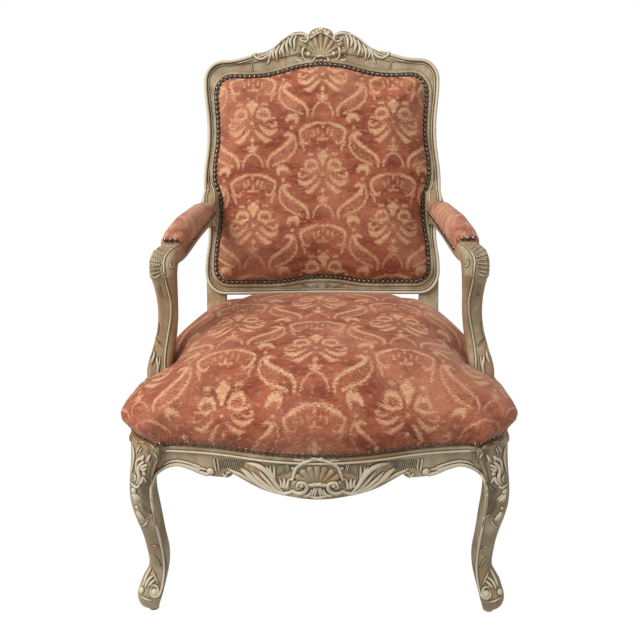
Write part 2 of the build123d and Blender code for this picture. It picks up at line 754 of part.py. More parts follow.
with BuildPart() as arm_support_screws:
    add(screws(both_sides(SUPPORT_SCREWS)))

with BuildPart() as pegs_right:
    add(leg_blank.part)
    add(post_blank.part)
    add(pegs(PEGS), mode=Mode.INTERSECT)

with BuildPart() as tenon_pegs:
    add(pegs_right.part)
    add(mirror(pegs_right.part, about=Plane.YZ, mode=Mode.PRIVATE))

# Seat upholstery

NAIL_STRIP = 13.0  # upright border of the cover that carries the nails
SEAT_SHAPE = [  # share of the height above that border, share of the outline, softness of the cusp
    (0.0, 1.0, 0.0),
    (0.22, 1.014, 0.6),
    (0.5, 0.997, 1.0),
    (0.76, 0.925, 1.0),
    (0.93, 0.75, 1.0),
    (1.0, 0.45, 1.0),
]


def support_room(grow):
    """Room round both arm supports, to cut out of a layer of the seat."""
    room = support_body(2 + grow)
    with BuildPart() as cuts:
        add(room)
        add(mirror(room, about=Plane.YZ, mode=Mode.PRIVATE))
    return cuts.part


def dome(sections):
    """Loft through the sections, without the flat face it starts from."""
    with BuildPart() as solid:
        loft(sections=sections, clean=False)
    start = sections[0].face().center()
    return [face for face in solid.faces() if (face.center() - start).length > 0.1]


def border(plane, nodes, height):
    """Upright faces round an outline, and the flat face under them."""
    with BuildPart() as solid:
        with BuildSketch(plane):
            add(outline(nodes))
        extrude(amount=height, clean=False)
    upright = [face for face in solid.faces() if abs(face.normal_at().dot(plane.z_dir)) < 0.5]
    base = [face for face in solid.faces() if (face.center() - plane.origin).dot(plane.z_dir) < height / 10]
    return upright, base[0]


def sewn(faces):
    """One solid, closed by these faces."""
    return Solid(Shell(faces))


def seat_skin(inset):
    """Faces of the seat, or of the room inside its cover, and the flat face that closes it below."""
    rise = SEAT_CROWN - inset - LEDGE_Z - NAIL_STRIP
    sections = []
    for height, share, soft in SEAT_SHAPE:
        with BuildSketch(level(LEDGE_Z + NAIL_STRIP + rise * height)) as section:
            add(outline(scaled(shifted(seat_edge(soft), inset), share, SEAT_MIDDLE)))
        sections.append(section.sketch)
    upright, base = border(level(LEDGE_Z), shifted(seat_edge(), inset), NAIL_STRIP)
    return [*dome(sections), *upright], base


def web_strips(low, across):
    """Strips of webbing over the rails, side to side or front to back."""
    with BuildPart() as strips:
        with BuildSketch(level(low)):
            with Locations((0, SEAT_MIDDLE)):
                if across:
                    with GridLocations(0, 92, 1, 5):
                        Rectangle(700, WEB_WIDTH)
                else:
                    with GridLocations(74, 0, 6, 1):
                        Rectangle(WEB_WIDTH, 700)
            add(outline(shifted(seat_edge(1), 16)), mode=Mode.INTERSECT)
        extrude(amount=WEB_THICK)
        add(support_room(1), mode=Mode.SUBTRACT)
    return strips.part


STUFFING_LOW = RAIL_TOP + 2 * WEB_THICK + HESSIAN
seat_outside, seat_base = seat_skin(0)
seat_inside, seat_opening = seat_skin(COVER)

with BuildPart() as seat_webbing_lengthwise:
    add(web_strips(RAIL_TOP, across=False))

with BuildPart() as seat_webbing_crosswise:
    add(web_strips(RAIL_TOP + WEB_THICK, across=True))

with BuildPart() as seat_hessian:
    with BuildSketch(level(RAIL_TOP + 2 * WEB_THICK)):
        add(outline(shifted(seat_edge(1), 12)))
    extrude(amount=HESSIAN)
    add(support_room(1), mode=Mode.SUBTRACT)

with BuildPart() as seat_stuffing:
    add(sewn([*seat_inside, seat_opening]))
    with BuildSketch(level(STUFFING_LOW)):
        Rectangle(1000, 2000)
    extrude(amount=-100, mode=Mode.SUBTRACT, clean=False)
    add(support_room(COVER), mode=Mode.SUBTRACT, clean=False)

with BuildPart() as seat_cover:
    add(sewn([*seat_outside, *seat_inside, seat_base.make_holes([seat_opening.outer_wire()])]))
    add(support_room(0), mode=Mode.SUBTRACT, clean=False)
    with Locations(*[spot(side * (REAR_HALF - 33.6), POST_FRONT + 11, STUFFING_LOW) for side in (-1, 1)]):
        corner = (Align.CENTER, Align.CENTER, Align.MAX)
        Box(64.2, 41, 60, align=corner, mode=Mode.SUBTRACT)

# Nails: low domes, set out along a line at an even pitch


def nail_places(nodes, plane_of):
    """A place for each nail along a line. plane_of turns a point and a tangent into a plane."""
    with BuildLine() as line:
        flow(nodes)
    wire = line.wire()
    count = round(wire.length / NAIL_PITCH)
    return [plane_of(wire @ (i / count), wire % (i / count)) for i in range(count + 1)]


def nail_heads(places):
    bulge = (NAIL_RADIUS**2 - NAIL_RISE**2) / (2 * NAIL_RISE)
    with BuildPart() as head:
        with BuildSketch(Plane.XZ):
            with BuildLine():
                Line((0, 0), (NAIL_RADIUS, 0))
                RadiusArc((NAIL_RADIUS, 0), (0, NAIL_RISE), -(NAIL_RISE + bulge))
                Line((0, NAIL_RISE), (0, 0))
            make_face()
        revolve(axis=Axis.Z)
    with BuildPart() as group:
        with Locations(*places):
            add(head.part)
    return group.part


def seat_nail_plane(point, tangent):
    place = spot(point.X, point.Y, LEDGE_Z + NAIL_STRIP / 2)
    return Plane(place, x_dir=(0, 0, 1), z_dir=(tangent.Y, -tangent.X, 0))


def mirrored_places(places):
    """Planes and their mirror images, leaving out doubles on the middle line."""
    flipped = []
    for place in places:
        if abs(place.origin.X) > 1:
            origin, out = place.origin, place.z_dir
            flipped.append(Plane((-origin.X, origin.Y, origin.Z), z_dir=(-out.X, out.Y, out.Z)))
    return [*places, *flipped]


with BuildPart() as seat_nails:
    right = nail_places(seat_edge()[:-2], seat_nail_plane)
    clear = [p for p in right if abs(p.origin.Y - BACK_FACE_Y + SUPPORT_FORWARD) > LAP_DEPTH / 2 + 8]
    add(nail_heads(mirrored_places(clear)))

# Back upholstery

BACK_MIDDLE = 305.0
COVER_TOP = COVER - REBATE  # front of the cover's flat border
BACK_SHAPE = [(0.0, 1.0), (0.2, 0.985), (0.5, 0.935), (0.82, 0.8), (1.0, 0.5)]


def back_dome(inset):
    rise = BACK_CROWN - inset - COVER_TOP
    sections = []
    for height, share in BACK_SHAPE:
        with BuildSketch(BACK.offset(COVER_TOP + rise * height)) as section:
            add(outline(scaled(shifted(nail_edge(), NAIL_BAND + inset), share, BACK_MIDDLE)))
        sections.append(section.sketch)
    return dome(sections)


def back_ring_face(plane, inner):
    """Flat border of the back cover, between its edge and an inner line."""
    with BuildSketch(plane) as ring:
        add(outline(shifted(nail_edge(), FIT - NAIL_BAND)))
        add(outline(shifted(nail_edge(), inner)), mode=Mode.SUBTRACT)
    return ring.sketch.face()


BACK_FLOOR = BACK.offset(-REBATE)
back_edge, _ = border(BACK_FLOOR, shifted(nail_edge(), FIT - NAIL_BAND), COVER)
back_throat, back_opening = border(BACK_FLOOR, shifted(nail_edge(), NAIL_BAND + COVER), COVER)
back_inside = [*back_dome(COVER), *back_throat]
back_outside = [*back_dome(0), back_ring_face(BACK.offset(COVER_TOP), NAIL_BAND), *back_edge]

with BuildPart() as back_webbing:
    with BuildSketch(BACK.offset(-REBATE)):
        with Locations((0, BACK_MIDDLE)):
            with GridLocations(0, 94, 1, 5):
                Rectangle(700, WEB_WIDTH)
        add(outline(shifted(nail_edge(), NAIL_BAND + COVER + 1)), mode=Mode.INTERSECT)
    extrude(amount=WEB_THICK)

with BuildPart() as back_hessian:
    with BuildSketch(BACK.offset(WEB_THICK - REBATE)):
        add(outline(shifted(nail_edge(), NAIL_BAND + COVER + 3)))
    extrude(amount=HESSIAN)

with BuildPart() as back_stuffing:
    add(sewn([*back_inside, back_opening]))
    with BuildSketch(BACK.offset(WEB_THICK + HESSIAN - REBATE)):
        Rectangle(2000, 2000)
    extrude(amount=-100, mode=Mode.SUBTRACT, clean=False)

with BuildPart() as back_cover:
    add(sewn([*back_outside, *back_inside, back_ring_face(BACK_FLOOR, NAIL_BAND + COVER)]))

with BuildPart() as outside_back_cover:
    with BuildSketch(BACK.offset(REBATE - FRAME_THICK)):
        add(outline(shifted(nail_edge(), FIT - NAIL_BAND)))
    extrude(amount=-COVER)


def back_nail_plane(point, tangent):
    return Plane(back_spot(point.X, point.Y, COVER_TOP), x_dir=BACK.x_dir, z_dir=BACK.z_dir)


def outside_nail_plane(point, tangent):
    place = back_spot(point.X, point.Y, REBATE - FRAME_THICK - COVER)
    return Plane(place, x_dir=BACK.x_dir, z_dir=-BACK.z_dir)


with BuildPart() as back_nails:
    add(nail_heads(mirrored_places(nail_places(nail_edge(), back_nail_plane))))

with BuildPart() as outside_back_nails:
    add(nail_heads(mirrored_places(nail_places(nail_edge(), outside_nail_plane)[::2])))

# Arm pads: saddles over the middle of the arms
# Rows are (x, y, z below the arm's root, tilt, turn, width, height, rise)

PAD_ROWS = [
    (257.7, -2, 17.5, 10, 5, 36.5, 36, 0.15),
    (261.5, -40, 23.5, 8, 6, 37.5, 36, 0.7),
    (275, -150, 34, 6, 7, 41, 38, 1.0),
    (283, -212, 42, 9, 5, 42.5, 37, 0.85),
    (286, -236, 45.4, 12, 4, 43, 36, 0.55),
]


def pad_body(inset):
    """The saddle under the pad's outer face, or under a face inset from it, arm included."""
    sections = []
    for i, (x, y, drop, tilt, turn, width, height, rise) in enumerate(PAD_ROWS):
        end = inset * ((i == len(PAD_ROWS) - 1) - (i == 0))
        half, top = width / 2 + PAD_SIDE - inset, height / 2 + PAD_RISE * rise - inset
        low, brow = -height / 6, height / 2 - 6
        with BuildSketch(arm_plane(x, y + end, ARM_ROOT.Z - drop, tilt, turn)) as section:
            with BuildLine():
                Line((-half, low), (half, low))
                Line((half, low), (half, brow))
                ThreePointArc((half, brow), (0, top), (-half, brow))
                Line((-half, brow), (-half, low))
            make_face()
        sections.append(section.sketch)
    with BuildPart() as saddle:
        loft(sections=sections)
        add(arm_blank.part, mode=Mode.SUBTRACT)
    return saddle.part


with BuildPart() as arm_pad_stuffing_right:
    add(pad_body(COVER))

with BuildPart() as arm_pad_cover_right:
    add(pad_body(0))
    add(arm_pad_stuffing_right.part, mode=Mode.SUBTRACT)

PAD_NAILS = 20
END_NAIL_RISE = 5.2  # nails across the pad's front end stand this far above the arm


def pad_nail_places():
    """Nails just above the lower edges of the pad, found on its own faces, and across its front end."""
    places = []
    first, last = PAD_ROWS[0], PAD_ROWS[-1]
    walls = [face for face in arm_pad_cover_right.faces() if abs(face.normal_at().X) > 0.8]
    for i in range(PAD_NAILS + 1):
        share = (i + 0.5) / (PAD_NAILS + 1)
        x, y = (a + (b - a) * share for a, b in zip(first[:2], last[:2]))
        drop = first[2] + (last[2] - first[2]) * share**1.3
        for side in (-1, 1):
            start = spot(x + side * 60, y, ARM_ROOT.Z - drop + 1)
            ray = Axis(start, (-side, 0, 0))
            hits = [hit[0] for wall in walls for hit in wall.find_intersection_points(ray)]
            if hits:
                nearest = min(hits, key=lambda hit: (hit - start).length)
                places.append(Plane(nearest, z_dir=(side, 0, 0)))
    x, y, drop, tilt, turn, _, height, _ = last
    front = arm_plane(x, y, ARM_ROOT.Z - drop, tilt, turn)
    for across in (-NAIL_PITCH, 0, NAIL_PITCH):
        middle = front.from_local_coords(Vector(across, height / 2 + END_NAIL_RISE, 0))
        places.append(Plane(middle, z_dir=front.z_dir))
    return places


with BuildPart() as arm_pad_nails_right:
    add(nail_heads(pad_nail_places()))

# Left-hand pieces, and the files

PAIRS = {
    "front_leg": front_leg_right,
    "back_post": back_post_right,
    "side_seat_rail": side_seat_rail_right,
    "arm": arm_right,
    "arm_support": arm_support_right,
    "corner_block_front": corner_block_front_right,
    "corner_block_rear": corner_block_rear_right,
    "arm_pad_stuffing": arm_pad_stuffing_right,
    "arm_pad_cover": arm_pad_cover_right,
    "arm_pad_nails": arm_pad_nails_right,
}
for name, right_piece in PAIRS.items():
    save(right_piece.part, f"{name}_right")
    with BuildPart() as left_piece:
        mirror(right_piece.part, about=Plane.YZ)
    save(left_piece.part, f"{name}_left")

SINGLES = {
    "front_seat_rail": front_seat_rail,
    "back_seat_rail": back_seat_rail,
    "crest_rail": crest_rail,
    "lower_back_rail": lower_back_rail,
    "corner_block_screws": corner_block_screws,
    "arm_support_screws": arm_support_screws,
    "arm_dowels": arm_dowels,
    "tenon_pegs": tenon_pegs,
    "seat_webbing_lengthwise": seat_webbing_lengthwise,
    "seat_webbing_crosswise": seat_webbing_crosswise,
    "seat_hessian": seat_hessian,
    "seat_stuffing": seat_stuffing,
    "seat_cover": seat_cover,
    "seat_nails": seat_nails,
    "back_webbing": back_webbing,
    "back_hessian": back_hessian,
    "back_stuffing": back_stuffing,
    "back_cover": back_cover,
    "back_nails": back_nails,
    "outside_back_cover": outside_back_cover,
    "outside_back_nails": outside_back_nails,
}
for name, piece in SINGLES.items():
    save(piece.part, name)
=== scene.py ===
# %% [markdown]
# # An open armchair in rubbed paint and damask velvet
#
# The chair's wooden frame and its nails come from a packed set of solids, and they stay as they are.
# This script dresses them: it adds the carver's relief, the mouldings and the stuffed covers, and
# gives every surface its finish. The solids are loaded first, because every new piece is placed on them.

# %% Load the solids
import math

import bmesh
import bpy
import numpy as np
from mathutils import Matrix, Quaternion, Vector
from mathutils.bvhtree import BVHTree


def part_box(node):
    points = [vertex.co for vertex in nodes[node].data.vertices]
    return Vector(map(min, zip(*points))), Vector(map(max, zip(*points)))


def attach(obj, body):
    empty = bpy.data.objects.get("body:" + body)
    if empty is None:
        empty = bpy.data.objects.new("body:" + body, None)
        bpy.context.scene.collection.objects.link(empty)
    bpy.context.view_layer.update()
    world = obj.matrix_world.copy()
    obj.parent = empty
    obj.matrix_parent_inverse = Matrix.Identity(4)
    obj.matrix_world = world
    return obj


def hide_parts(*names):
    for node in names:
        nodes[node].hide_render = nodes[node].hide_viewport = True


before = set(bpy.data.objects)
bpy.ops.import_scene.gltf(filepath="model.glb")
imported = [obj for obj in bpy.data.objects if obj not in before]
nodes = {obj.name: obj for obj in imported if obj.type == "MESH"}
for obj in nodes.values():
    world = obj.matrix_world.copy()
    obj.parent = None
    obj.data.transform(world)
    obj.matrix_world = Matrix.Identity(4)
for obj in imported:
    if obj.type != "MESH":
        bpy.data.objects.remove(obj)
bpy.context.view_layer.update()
scene = bpy.context.scene
scene.view_settings.view_transform = "Standard"
print("solids:", len(nodes))

# %% [markdown]
# The camera stands where the photographer stood: in front, a little above the back, looking down.
# Its height and lens were worked out from the known lines of the chair, such as its two front feet.

# %% Camera
camera_data = bpy.data.cameras.new("front_camera")
camera_data.lens = 42.69
camera_data.sensor_width = 36.0
camera = bpy.data.objects.new("front_camera", camera_data)
camera.location = (0.0333, -1.4910, 1.0077)
camera.rotation_euler = (math.radians(70.645), math.radians(0.6), math.radians(1.13))
scene.collection.objects.link(camera)
scene.camera = camera
bpy.context.view_layer.update()
print("camera at", tuple(round(c, 3) for c in camera.location))

# %% [markdown]
# A node tree is easier to read when one short call adds a node and joins its inputs.
# These helpers are used by every finish below. An input may be a plain value or another node's output.

# %% Helpers for nodes


def put(tree, kind, inputs=None, **settings):
    """Adds a node. An input is a plain value, or the output that feeds it."""
    made = tree.nodes.new(kind)
    for name, value in settings.items():
        setattr(made, name, value)
    for name, value in (inputs or {}).items():
        if isinstance(value, bpy.types.NodeSocket):
            tree.links.new(value, made.inputs[name])
        else:
            made.inputs[name].default_value = value
    return made


MIX_FACTOR, MIX_A, MIX_B, MIX_RESULT = 0, 6, 7, 2


def tint(tree, factor, first, second, way="MIX"):
    """Mixes two colours and returns the result."""
    inputs = {MIX_FACTOR: factor, MIX_A: first, MIX_B: second}
    return put(tree, "ShaderNodeMix", inputs, data_type="RGBA", blend_type=way).outputs[MIX_RESULT]


def sums(tree, operation, first, second=0.0):
    return put(tree, "ShaderNodeMath", {0: first, 1: second}, operation=operation).outputs[0]


def spread(tree, value, low, high, least=0.0, most=1.0):
    """Stretches the part of a value between low and high, with soft ends."""
    inputs = {"Value": value, "From Min": low, "From Max": high, "To Min": least, "To Max": most}
    return put(tree, "ShaderNodeMapRange", inputs, interpolation_type="SMOOTHSTEP").outputs["Result"]


def cloud(tree, place, scale, detail=3.0):
    """Soft random shade, about 0.5 on average."""
    inputs = {"Vector": place, "Scale": scale, "Detail": detail, "Roughness": 0.6}
    return put(tree, "ShaderNodeTexNoise", inputs).outputs["Fac"]


def stretched(tree, place, scale):
    return put(tree, "ShaderNodeMapping", {"Vector": place, "Scale": scale}).outputs["Vector"]


def bumped(tree, height, strength, distance):
    """The normal of a surface roughened by a height."""
    inputs = {"Height": height, "Strength": strength, "Distance": distance}
    return put(tree, "ShaderNodeBump", inputs).outputs["Normal"]


def new_finish(name):
    """A material with one Principled shader, and its tree."""
    material = bpy.data.materials.new(name)
    material.use_nodes = True
    tree = material.node_tree
    return material, tree, tree.nodes["Principled BSDF"]


def feed(tree, shader, **wires):
    """Joins outputs to the shader's inputs, or sets plain values on them."""
    for name, value in wires.items():
        socket = shader.inputs[name.replace("_", " ")]
        if isinstance(value, bpy.types.NodeSocket):
            tree.links.new(value, socket)
        else:
            socket.default_value = value


def new_group(name, inputs, outputs):
    """A node group with named inputs (label, kind, value) and outputs (label, kind)."""
    tree = bpy.data.node_groups.new(name, "ShaderNodeTree")
    for label, kind, value in inputs:
        socket = tree.interface.new_socket(label, in_out="INPUT", socket_type=kind)
        socket.default_value = value
    for label, kind in outputs:
        tree.interface.new_socket(label, in_out="OUTPUT", socket_type=kind)
    return tree, tree.nodes.new("NodeGroupInput"), tree.nodes.new("NodeGroupOutput")


COLOUR, NUMBER = "NodeSocketColor", "NodeSocketFloat"
print("helpers for nodes are ready")

# %% [markdown]
# The chair was photographed on plain white. A white floor and a white sky give that, but white light
# from all round would wash the colours out. So the camera sees the sky at full strength, and the chair
# is lit by less of it, with one large soft lamp on the left and a weak one on the right. The floor
# glows a little for the camera alone, so it stays white and still keeps the soft shadow under the feet.

# %% Floor, sky and lamps


def seen_directly(tree):
    """1 for what the camera sees, and 0 for what only sends light."""
    return put(tree, "ShaderNodeLightPath").outputs["Is Camera Ray"]


SKY_LIGHT = 0.46
world = bpy.data.worlds.new("white_sky")
world.use_nodes = True
scene.world = world
sky = world.node_tree
sky_shader = sky.nodes["Background"]
sky_shader.inputs["Color"].default_value = (1.0, 1.0, 1.0, 1.0)
sky_level = spread(sky, seen_directly(sky), 0.0, 1.0, SKY_LIGHT, 1.0)
sky.links.new(sky_level, sky_shader.inputs["Strength"])

floor_finish, floor_tree, floor_shader = new_finish("white_floor")
feed(floor_tree, floor_shader, Base_Color=(0.55, 0.55, 0.55, 1.0), Roughness=0.9)
floor_glow = put(floor_tree, "ShaderNodeEmission", {"Color": (1.0, 1.0, 1.0, 1.0), "Strength": 1.06})
FLOOR_GLOW_SHARE = 0.93
floor_share = sums(floor_tree, "MULTIPLY", seen_directly(floor_tree), FLOOR_GLOW_SHARE)
floor_mix = put(
    floor_tree,
    "ShaderNodeMixShader",
    {0: floor_share, 1: floor_shader.outputs[0], 2: floor_glow.outputs[0]},
)
floor_tree.links.new(floor_mix.outputs[0], floor_tree.nodes["Material Output"].inputs["Surface"])

floor_form = bmesh.new()
bmesh.ops.create_grid(floor_form, x_segments=1, y_segments=1, size=12.0)
floor_mesh = bpy.data.meshes.new("floor")
floor_form.to_mesh(floor_mesh)
floor_form.free()
floor_mesh.materials.append(floor_finish)
floor = bpy.data.objects.new("floor", floor_mesh)
scene.collection.objects.link(floor)


def soft_lamp(name, place, aim, size, power):
    data = bpy.data.lights.new(name, "AREA")
    data.size = size
    data.energy = power
    lamp = bpy.data.objects.new(name, data)
    lamp.location = place
    lamp.rotation_euler = (Vector(aim) - Vector(place)).to_track_quat("-Z", "Y").to_euler()
    scene.collection.objects.link(lamp)


CHAIR_MIDDLE = (0.0, 0.0, 0.55)
soft_lamp("lamp_left", (-2.2, -1.3, 3.1), CHAIR_MIDDLE, 2.2, 125.0)
soft_lamp("lamp_right", (2.4, -2.2, 1.6), CHAIR_MIDDLE, 2.0, 10.0)
print("floor, sky and two lamps are in place")

# %% [markdown]
# The wood was painted grey-cream, given a brown glaze, and rubbed. Seen close, the paint has pale and
# olive clouds, tan wood shows where hands and cloths have rubbed it, and dark glaze stays in the low
# places of the carving; there the colour is darkened further as painted shade. The high ridges of the
# carving are painted paler, as painted highlight together with rubbed paint. One group makes these
# layers. Its inputs say how low or how high a point of the carving is, so the same group serves plain
# rails and deep relief.

# %% Rubbed paint
paint, paint_in, paint_out = new_group(
    "rubbed_paint",
    [("Glaze_And_Shade", NUMBER, 0.0), ("Ridge_Highlight_And_Wear", NUMBER, 0.0), ("Rubbed", NUMBER, 0.5)],
    [("Colour", COLOUR), ("Roughness", NUMBER), ("Height", NUMBER)],
)
CREAM = (0.50, 0.405, 0.26, 1.0)
OLIVE = (0.28, 0.22, 0.126, 1.0)
TAN_WOOD = (0.36, 0.205, 0.09, 1.0)
GLAZE_AND_SHADE = (0.040, 0.027, 0.015, 1.0)
RIDGE_HIGHLIGHT_AND_WEAR = (0.72, 0.635, 0.475, 1.0)

paint_place = put(paint, "ShaderNodeTexCoord").outputs["Object"]
paint_clouds = spread(paint, cloud(paint, paint_place, 14.0, 5.0), 0.38, 0.64)
paint_coat = tint(paint, paint_clouds, CREAM, OLIVE)
rub_large = cloud(paint, paint_place, 9.0, 4.0)
rub_streaks = cloud(paint, stretched(paint, paint_place, (90.0, 90.0, 25.0)), 1.0, 4.0)
rub_clouds = sums(paint, "MULTIPLY", rub_large, 0.55)
rub_sum = sums(paint, "ADD", rub_clouds, sums(paint, "MULTIPLY", rub_streaks, 0.45))
rub_lift = sums(paint, "ADD", rub_sum, sums(paint, "MULTIPLY", paint_in.outputs["Rubbed"], 0.2))
rub_mask = sums(paint, "MULTIPLY", spread(paint, rub_lift, 0.55, 0.72), 0.8)
paint_rubbed = tint(paint, rub_mask, paint_coat, TAN_WOOD)
speck = spread(paint, cloud(paint, paint_place, 420.0, 2.0), 0.62, 0.74, 0.0, 0.45)
paint_specked = tint(paint, speck, paint_rubbed, GLAZE_AND_SHADE)
# The relief's high ridges are painted paler: painted highlight together with rubbed paint.
paint_ridge_highlighted = tint(paint, paint_in.outputs["Ridge_Highlight_And_Wear"], paint_specked, RIDGE_HIGHLIGHT_AND_WEAR)
# Dark glaze together with painted shade in the carving's low places, broken up by noise.
glaze_and_shade_break = spread(paint, cloud(paint, paint_place, 160.0, 2.0), 0.25, 0.6, 0.55, 1.0)
glaze_and_shade_mask = sums(paint, "MULTIPLY", paint_in.outputs["Glaze_And_Shade"], glaze_and_shade_break)
paint.links.new(tint(paint, glaze_and_shade_mask, paint_ridge_highlighted, GLAZE_AND_SHADE), paint_out.inputs["Colour"])
paint.links.new(spread(paint, rub_streaks, 0.3, 0.7, 0.48, 0.68), paint_out.inputs["Roughness"])
paint_grain = sums(paint, "ADD", rub_streaks, sums(paint, "MULTIPLY", speck, -0.8))
paint.links.new(paint_grain, paint_out.inputs["Height"])


def paint_finish(name, rubbed, carved=False):
    """Painted wood. On carved pieces, the lift attribute says how far a point stands out."""
    material, tree, shader = new_finish(name)
    coat = put(tree, "ShaderNodeGroup", node_tree=paint)
    coat.inputs["Rubbed"].default_value = rubbed
    if carved:
        lift = put(tree, "ShaderNodeAttribute", attribute_name="lift").outputs["Fac"]
        # Low points of the carving get dark glaze and painted shade.
        tree.links.new(spread(tree, lift, 0.05, 0.5, 0.92, 0.0), coat.inputs["Glaze_And_Shade"])
        # High points of the carving get a painted highlight with rubbed paint.
        tree.links.new(spread(tree, lift, 0.55, 1.0, 0.0, 0.75), coat.inputs["Ridge_Highlight_And_Wear"])
    feed(tree, shader, Base_Color=coat.outputs["Colour"], Roughness=coat.outputs["Roughness"])
    feed(tree, shader, Normal=bumped(tree, coat.outputs["Height"], 0.35, 0.0012))
    return material


painted_wood = paint_finish("painted_wood", 0.5)
rubbed_wood = paint_finish("rubbed_wood", 0.7)
carved_wood = paint_finish("carved_wood", 0.35, carved=True)
print("painted finishes:", painted_wood.name, rubbed_wood.name, carved_wood.name)

# %% [markdown]
# The nail heads are brass, browned with age, and bright only on top where the cover is brushed.
# Plain beech shows inside the frame, and the webbing and sacking under the seat are jute.

# %% Nails, beech, steel, jute


def nail_finish():
    material, tree, shader = new_finish("aged_brass")
    place = put(tree, "ShaderNodeTexCoord").outputs["Object"]
    shade = spread(tree, cloud(tree, place, 260.0, 3.0), 0.35, 0.68)
    colour = tint(tree, shade, (0.075, 0.046, 0.035, 1.0), (0.27, 0.18, 0.135, 1.0))
    rough = spread(tree, cloud(tree, place, 700.0, 2.0), 0.3, 0.7, 0.13, 0.19)
    feed(tree, shader, Base_Color=colour, Roughness=rough, Metallic=0.95)
    feed(tree, shader, Coat_Weight=0.6, Coat_Roughness=0.18)
    return material


def beech_finish():
    material, tree, shader = new_finish("plain_beech")
    place = put(tree, "ShaderNodeTexCoord").outputs["Object"]
    grain = cloud(tree, stretched(tree, place, (14.0, 160.0, 160.0)), 1.0, 4.0)
    darkness = spread(tree, grain, 0.35, 0.65)
    colour = tint(tree, darkness, (0.42, 0.27, 0.15, 1.0), (0.27, 0.155, 0.075, 1.0))
    feed(tree, shader, Base_Color=colour, Roughness=0.62, Normal=bumped(tree, grain, 0.2, 0.001))
    return material


def steel_finish():
    material, tree, shader = new_finish("screw_steel")
    place = put(tree, "ShaderNodeTexCoord").outputs["Object"]
    shade = cloud(tree, place, 300.0, 2.0)
    colour = tint(tree, shade, (0.22, 0.21, 0.2, 1.0), (0.42, 0.4, 0.38, 1.0))
    feed(tree, shader, Base_Color=colour, Roughness=0.38, Metallic=1.0)
    return material


def jute_finish(name, pitch, light, dark):
    """Crossed threads of the given pitch, in metres."""
    material, tree, shader = new_finish(name)
    place = put(tree, "ShaderNodeTexCoord").outputs["Object"]
    waves = {"Vector": place, "Scale": 1.0 / pitch / 3.2, "Distortion": 1.0}
    across = put(tree, "ShaderNodeTexWave", waves)
    along = put(tree, "ShaderNodeTexWave", waves, bands_direction="Y")
    threads = sums(tree, "MULTIPLY", across.outputs["Fac"], along.outputs["Fac"])
    feed(tree, shader, Base_Color=tint(tree, threads, dark, light), Roughness=0.9)
    feed(tree, shader, Normal=bumped(tree, threads, 0.5, 0.001))
    return material


aged_brass = nail_finish()
plain_beech = beech_finish()
screw_steel = steel_finish()
jute_web = jute_finish("jute_webbing", 0.004, (0.47, 0.34, 0.2, 1.0), (0.22, 0.14, 0.075, 1.0))
sacking = jute_finish("sacking", 0.0022, (0.42, 0.3, 0.17, 1.0), (0.17, 0.11, 0.06, 1.0))

for name, node in nodes.items():
    finish = painted_wood
    if "screw" in name:
        finish = screw_steel
    elif "nails" in name:
        finish = aged_brass
    elif "webbing" in name:
        finish = jute_web
    elif "hessian" in name or "stuffing" in name:
        finish = sacking
    elif "block" in name or "dowel" in name or "peg" in name:
        finish = plain_beech
    elif "arm_support" in name or name in ("arm_left", "arm_right"):
        finish = rubbed_wood
    node.data.materials.clear()
    node.data.materials.append(finish)
print("finishes given to", len(nodes), "solids")

# %% [markdown]
# The outlines of the seat and of the back are the same smooth lines that the frame was drawn with:
# a few nodes, each with a place and a heading, joined by pairs of arcs. The covers and mouldings start
# from these lines, so they meet the nails and the rails. All lengths in the outlines are millimetres.

# %% Outlines
MM = 0.001
BACK_FACE_Y = 178.6466
SEAT_LEVEL = 450.0
LEAN = math.radians(15.6)
BACK_UP = Vector((0.0, math.sin(LEAN), math.cos(LEAN)))
BACK_OUT = Vector((0.0, -math.cos(LEAN), math.sin(LEAN)))
BACK_ORIGIN = Vector((0.0, BACK_FACE_Y, SEAT_LEVEL))


def on_back(x, up, out=0.0):
    """The point of a place on the back's face, in the shared frame."""
    return (BACK_ORIGIN + Vector((x, 0.0, 0.0)) + BACK_UP * up + BACK_OUT * out) * MM


def on_plan(x, y, z):
    """The point of a place on the seat's plan, in the shared frame."""
    return Vector((x, y + BACK_FACE_Y, z)) * MM


def unit(heading):
    turn = math.radians(heading)
    return np.array((math.cos(turn), math.sin(turn)))


def arc(start, end, tangent, count):
    """Points of the arc that leaves start along tangent; the end is left to the next arc."""
    chord = end - start
    turn = 2.0 * math.atan2(tangent[0] * chord[1] - tangent[1] * chord[0], float(tangent @ chord))
    steps = np.arange(count) / count
    if abs(turn) < 1e-5:
        return start + chord * steps[:, None]
    radius = np.hypot(*chord) / (2.0 * math.sin(turn / 2.0))
    left = np.array((-tangent[1], tangent[0]))
    ahead, aside = np.sin(turn * steps)[:, None], (1 - np.cos(turn * steps))[:, None]
    return start + radius * (ahead * tangent + aside * left)


def flow(line, count=8):
    """Points along the smooth line through nodes of (x, y, heading[, heading out])."""
    points = []
    for here, there in zip(line, line[1:]):
        a, b = np.array(here[:2], float), np.array(there[:2], float)
        leave, arrive = unit(here[-1]), unit(there[2])
        chord, both = b - a, leave + arrive
        bow = 2.0 * (1.0 - leave @ arrive)
        along = chord @ both
        if bow < 1e-6:
            reach = chord @ chord / (2.0 * along)
        else:
            reach = (math.sqrt(along**2 + bow * (chord @ chord)) - along) / bow
        first, second = a + leave * reach, b - arrive * reach
        meet = (first + second) / 2.0
        points.append(arc(a, meet, leave, count))
        points.append(arc(meet, b, (second - first) / np.hypot(*(second - first)), count))
    points.append(np.array([line[-1][:2]], float))
    return np.concatenate(points)


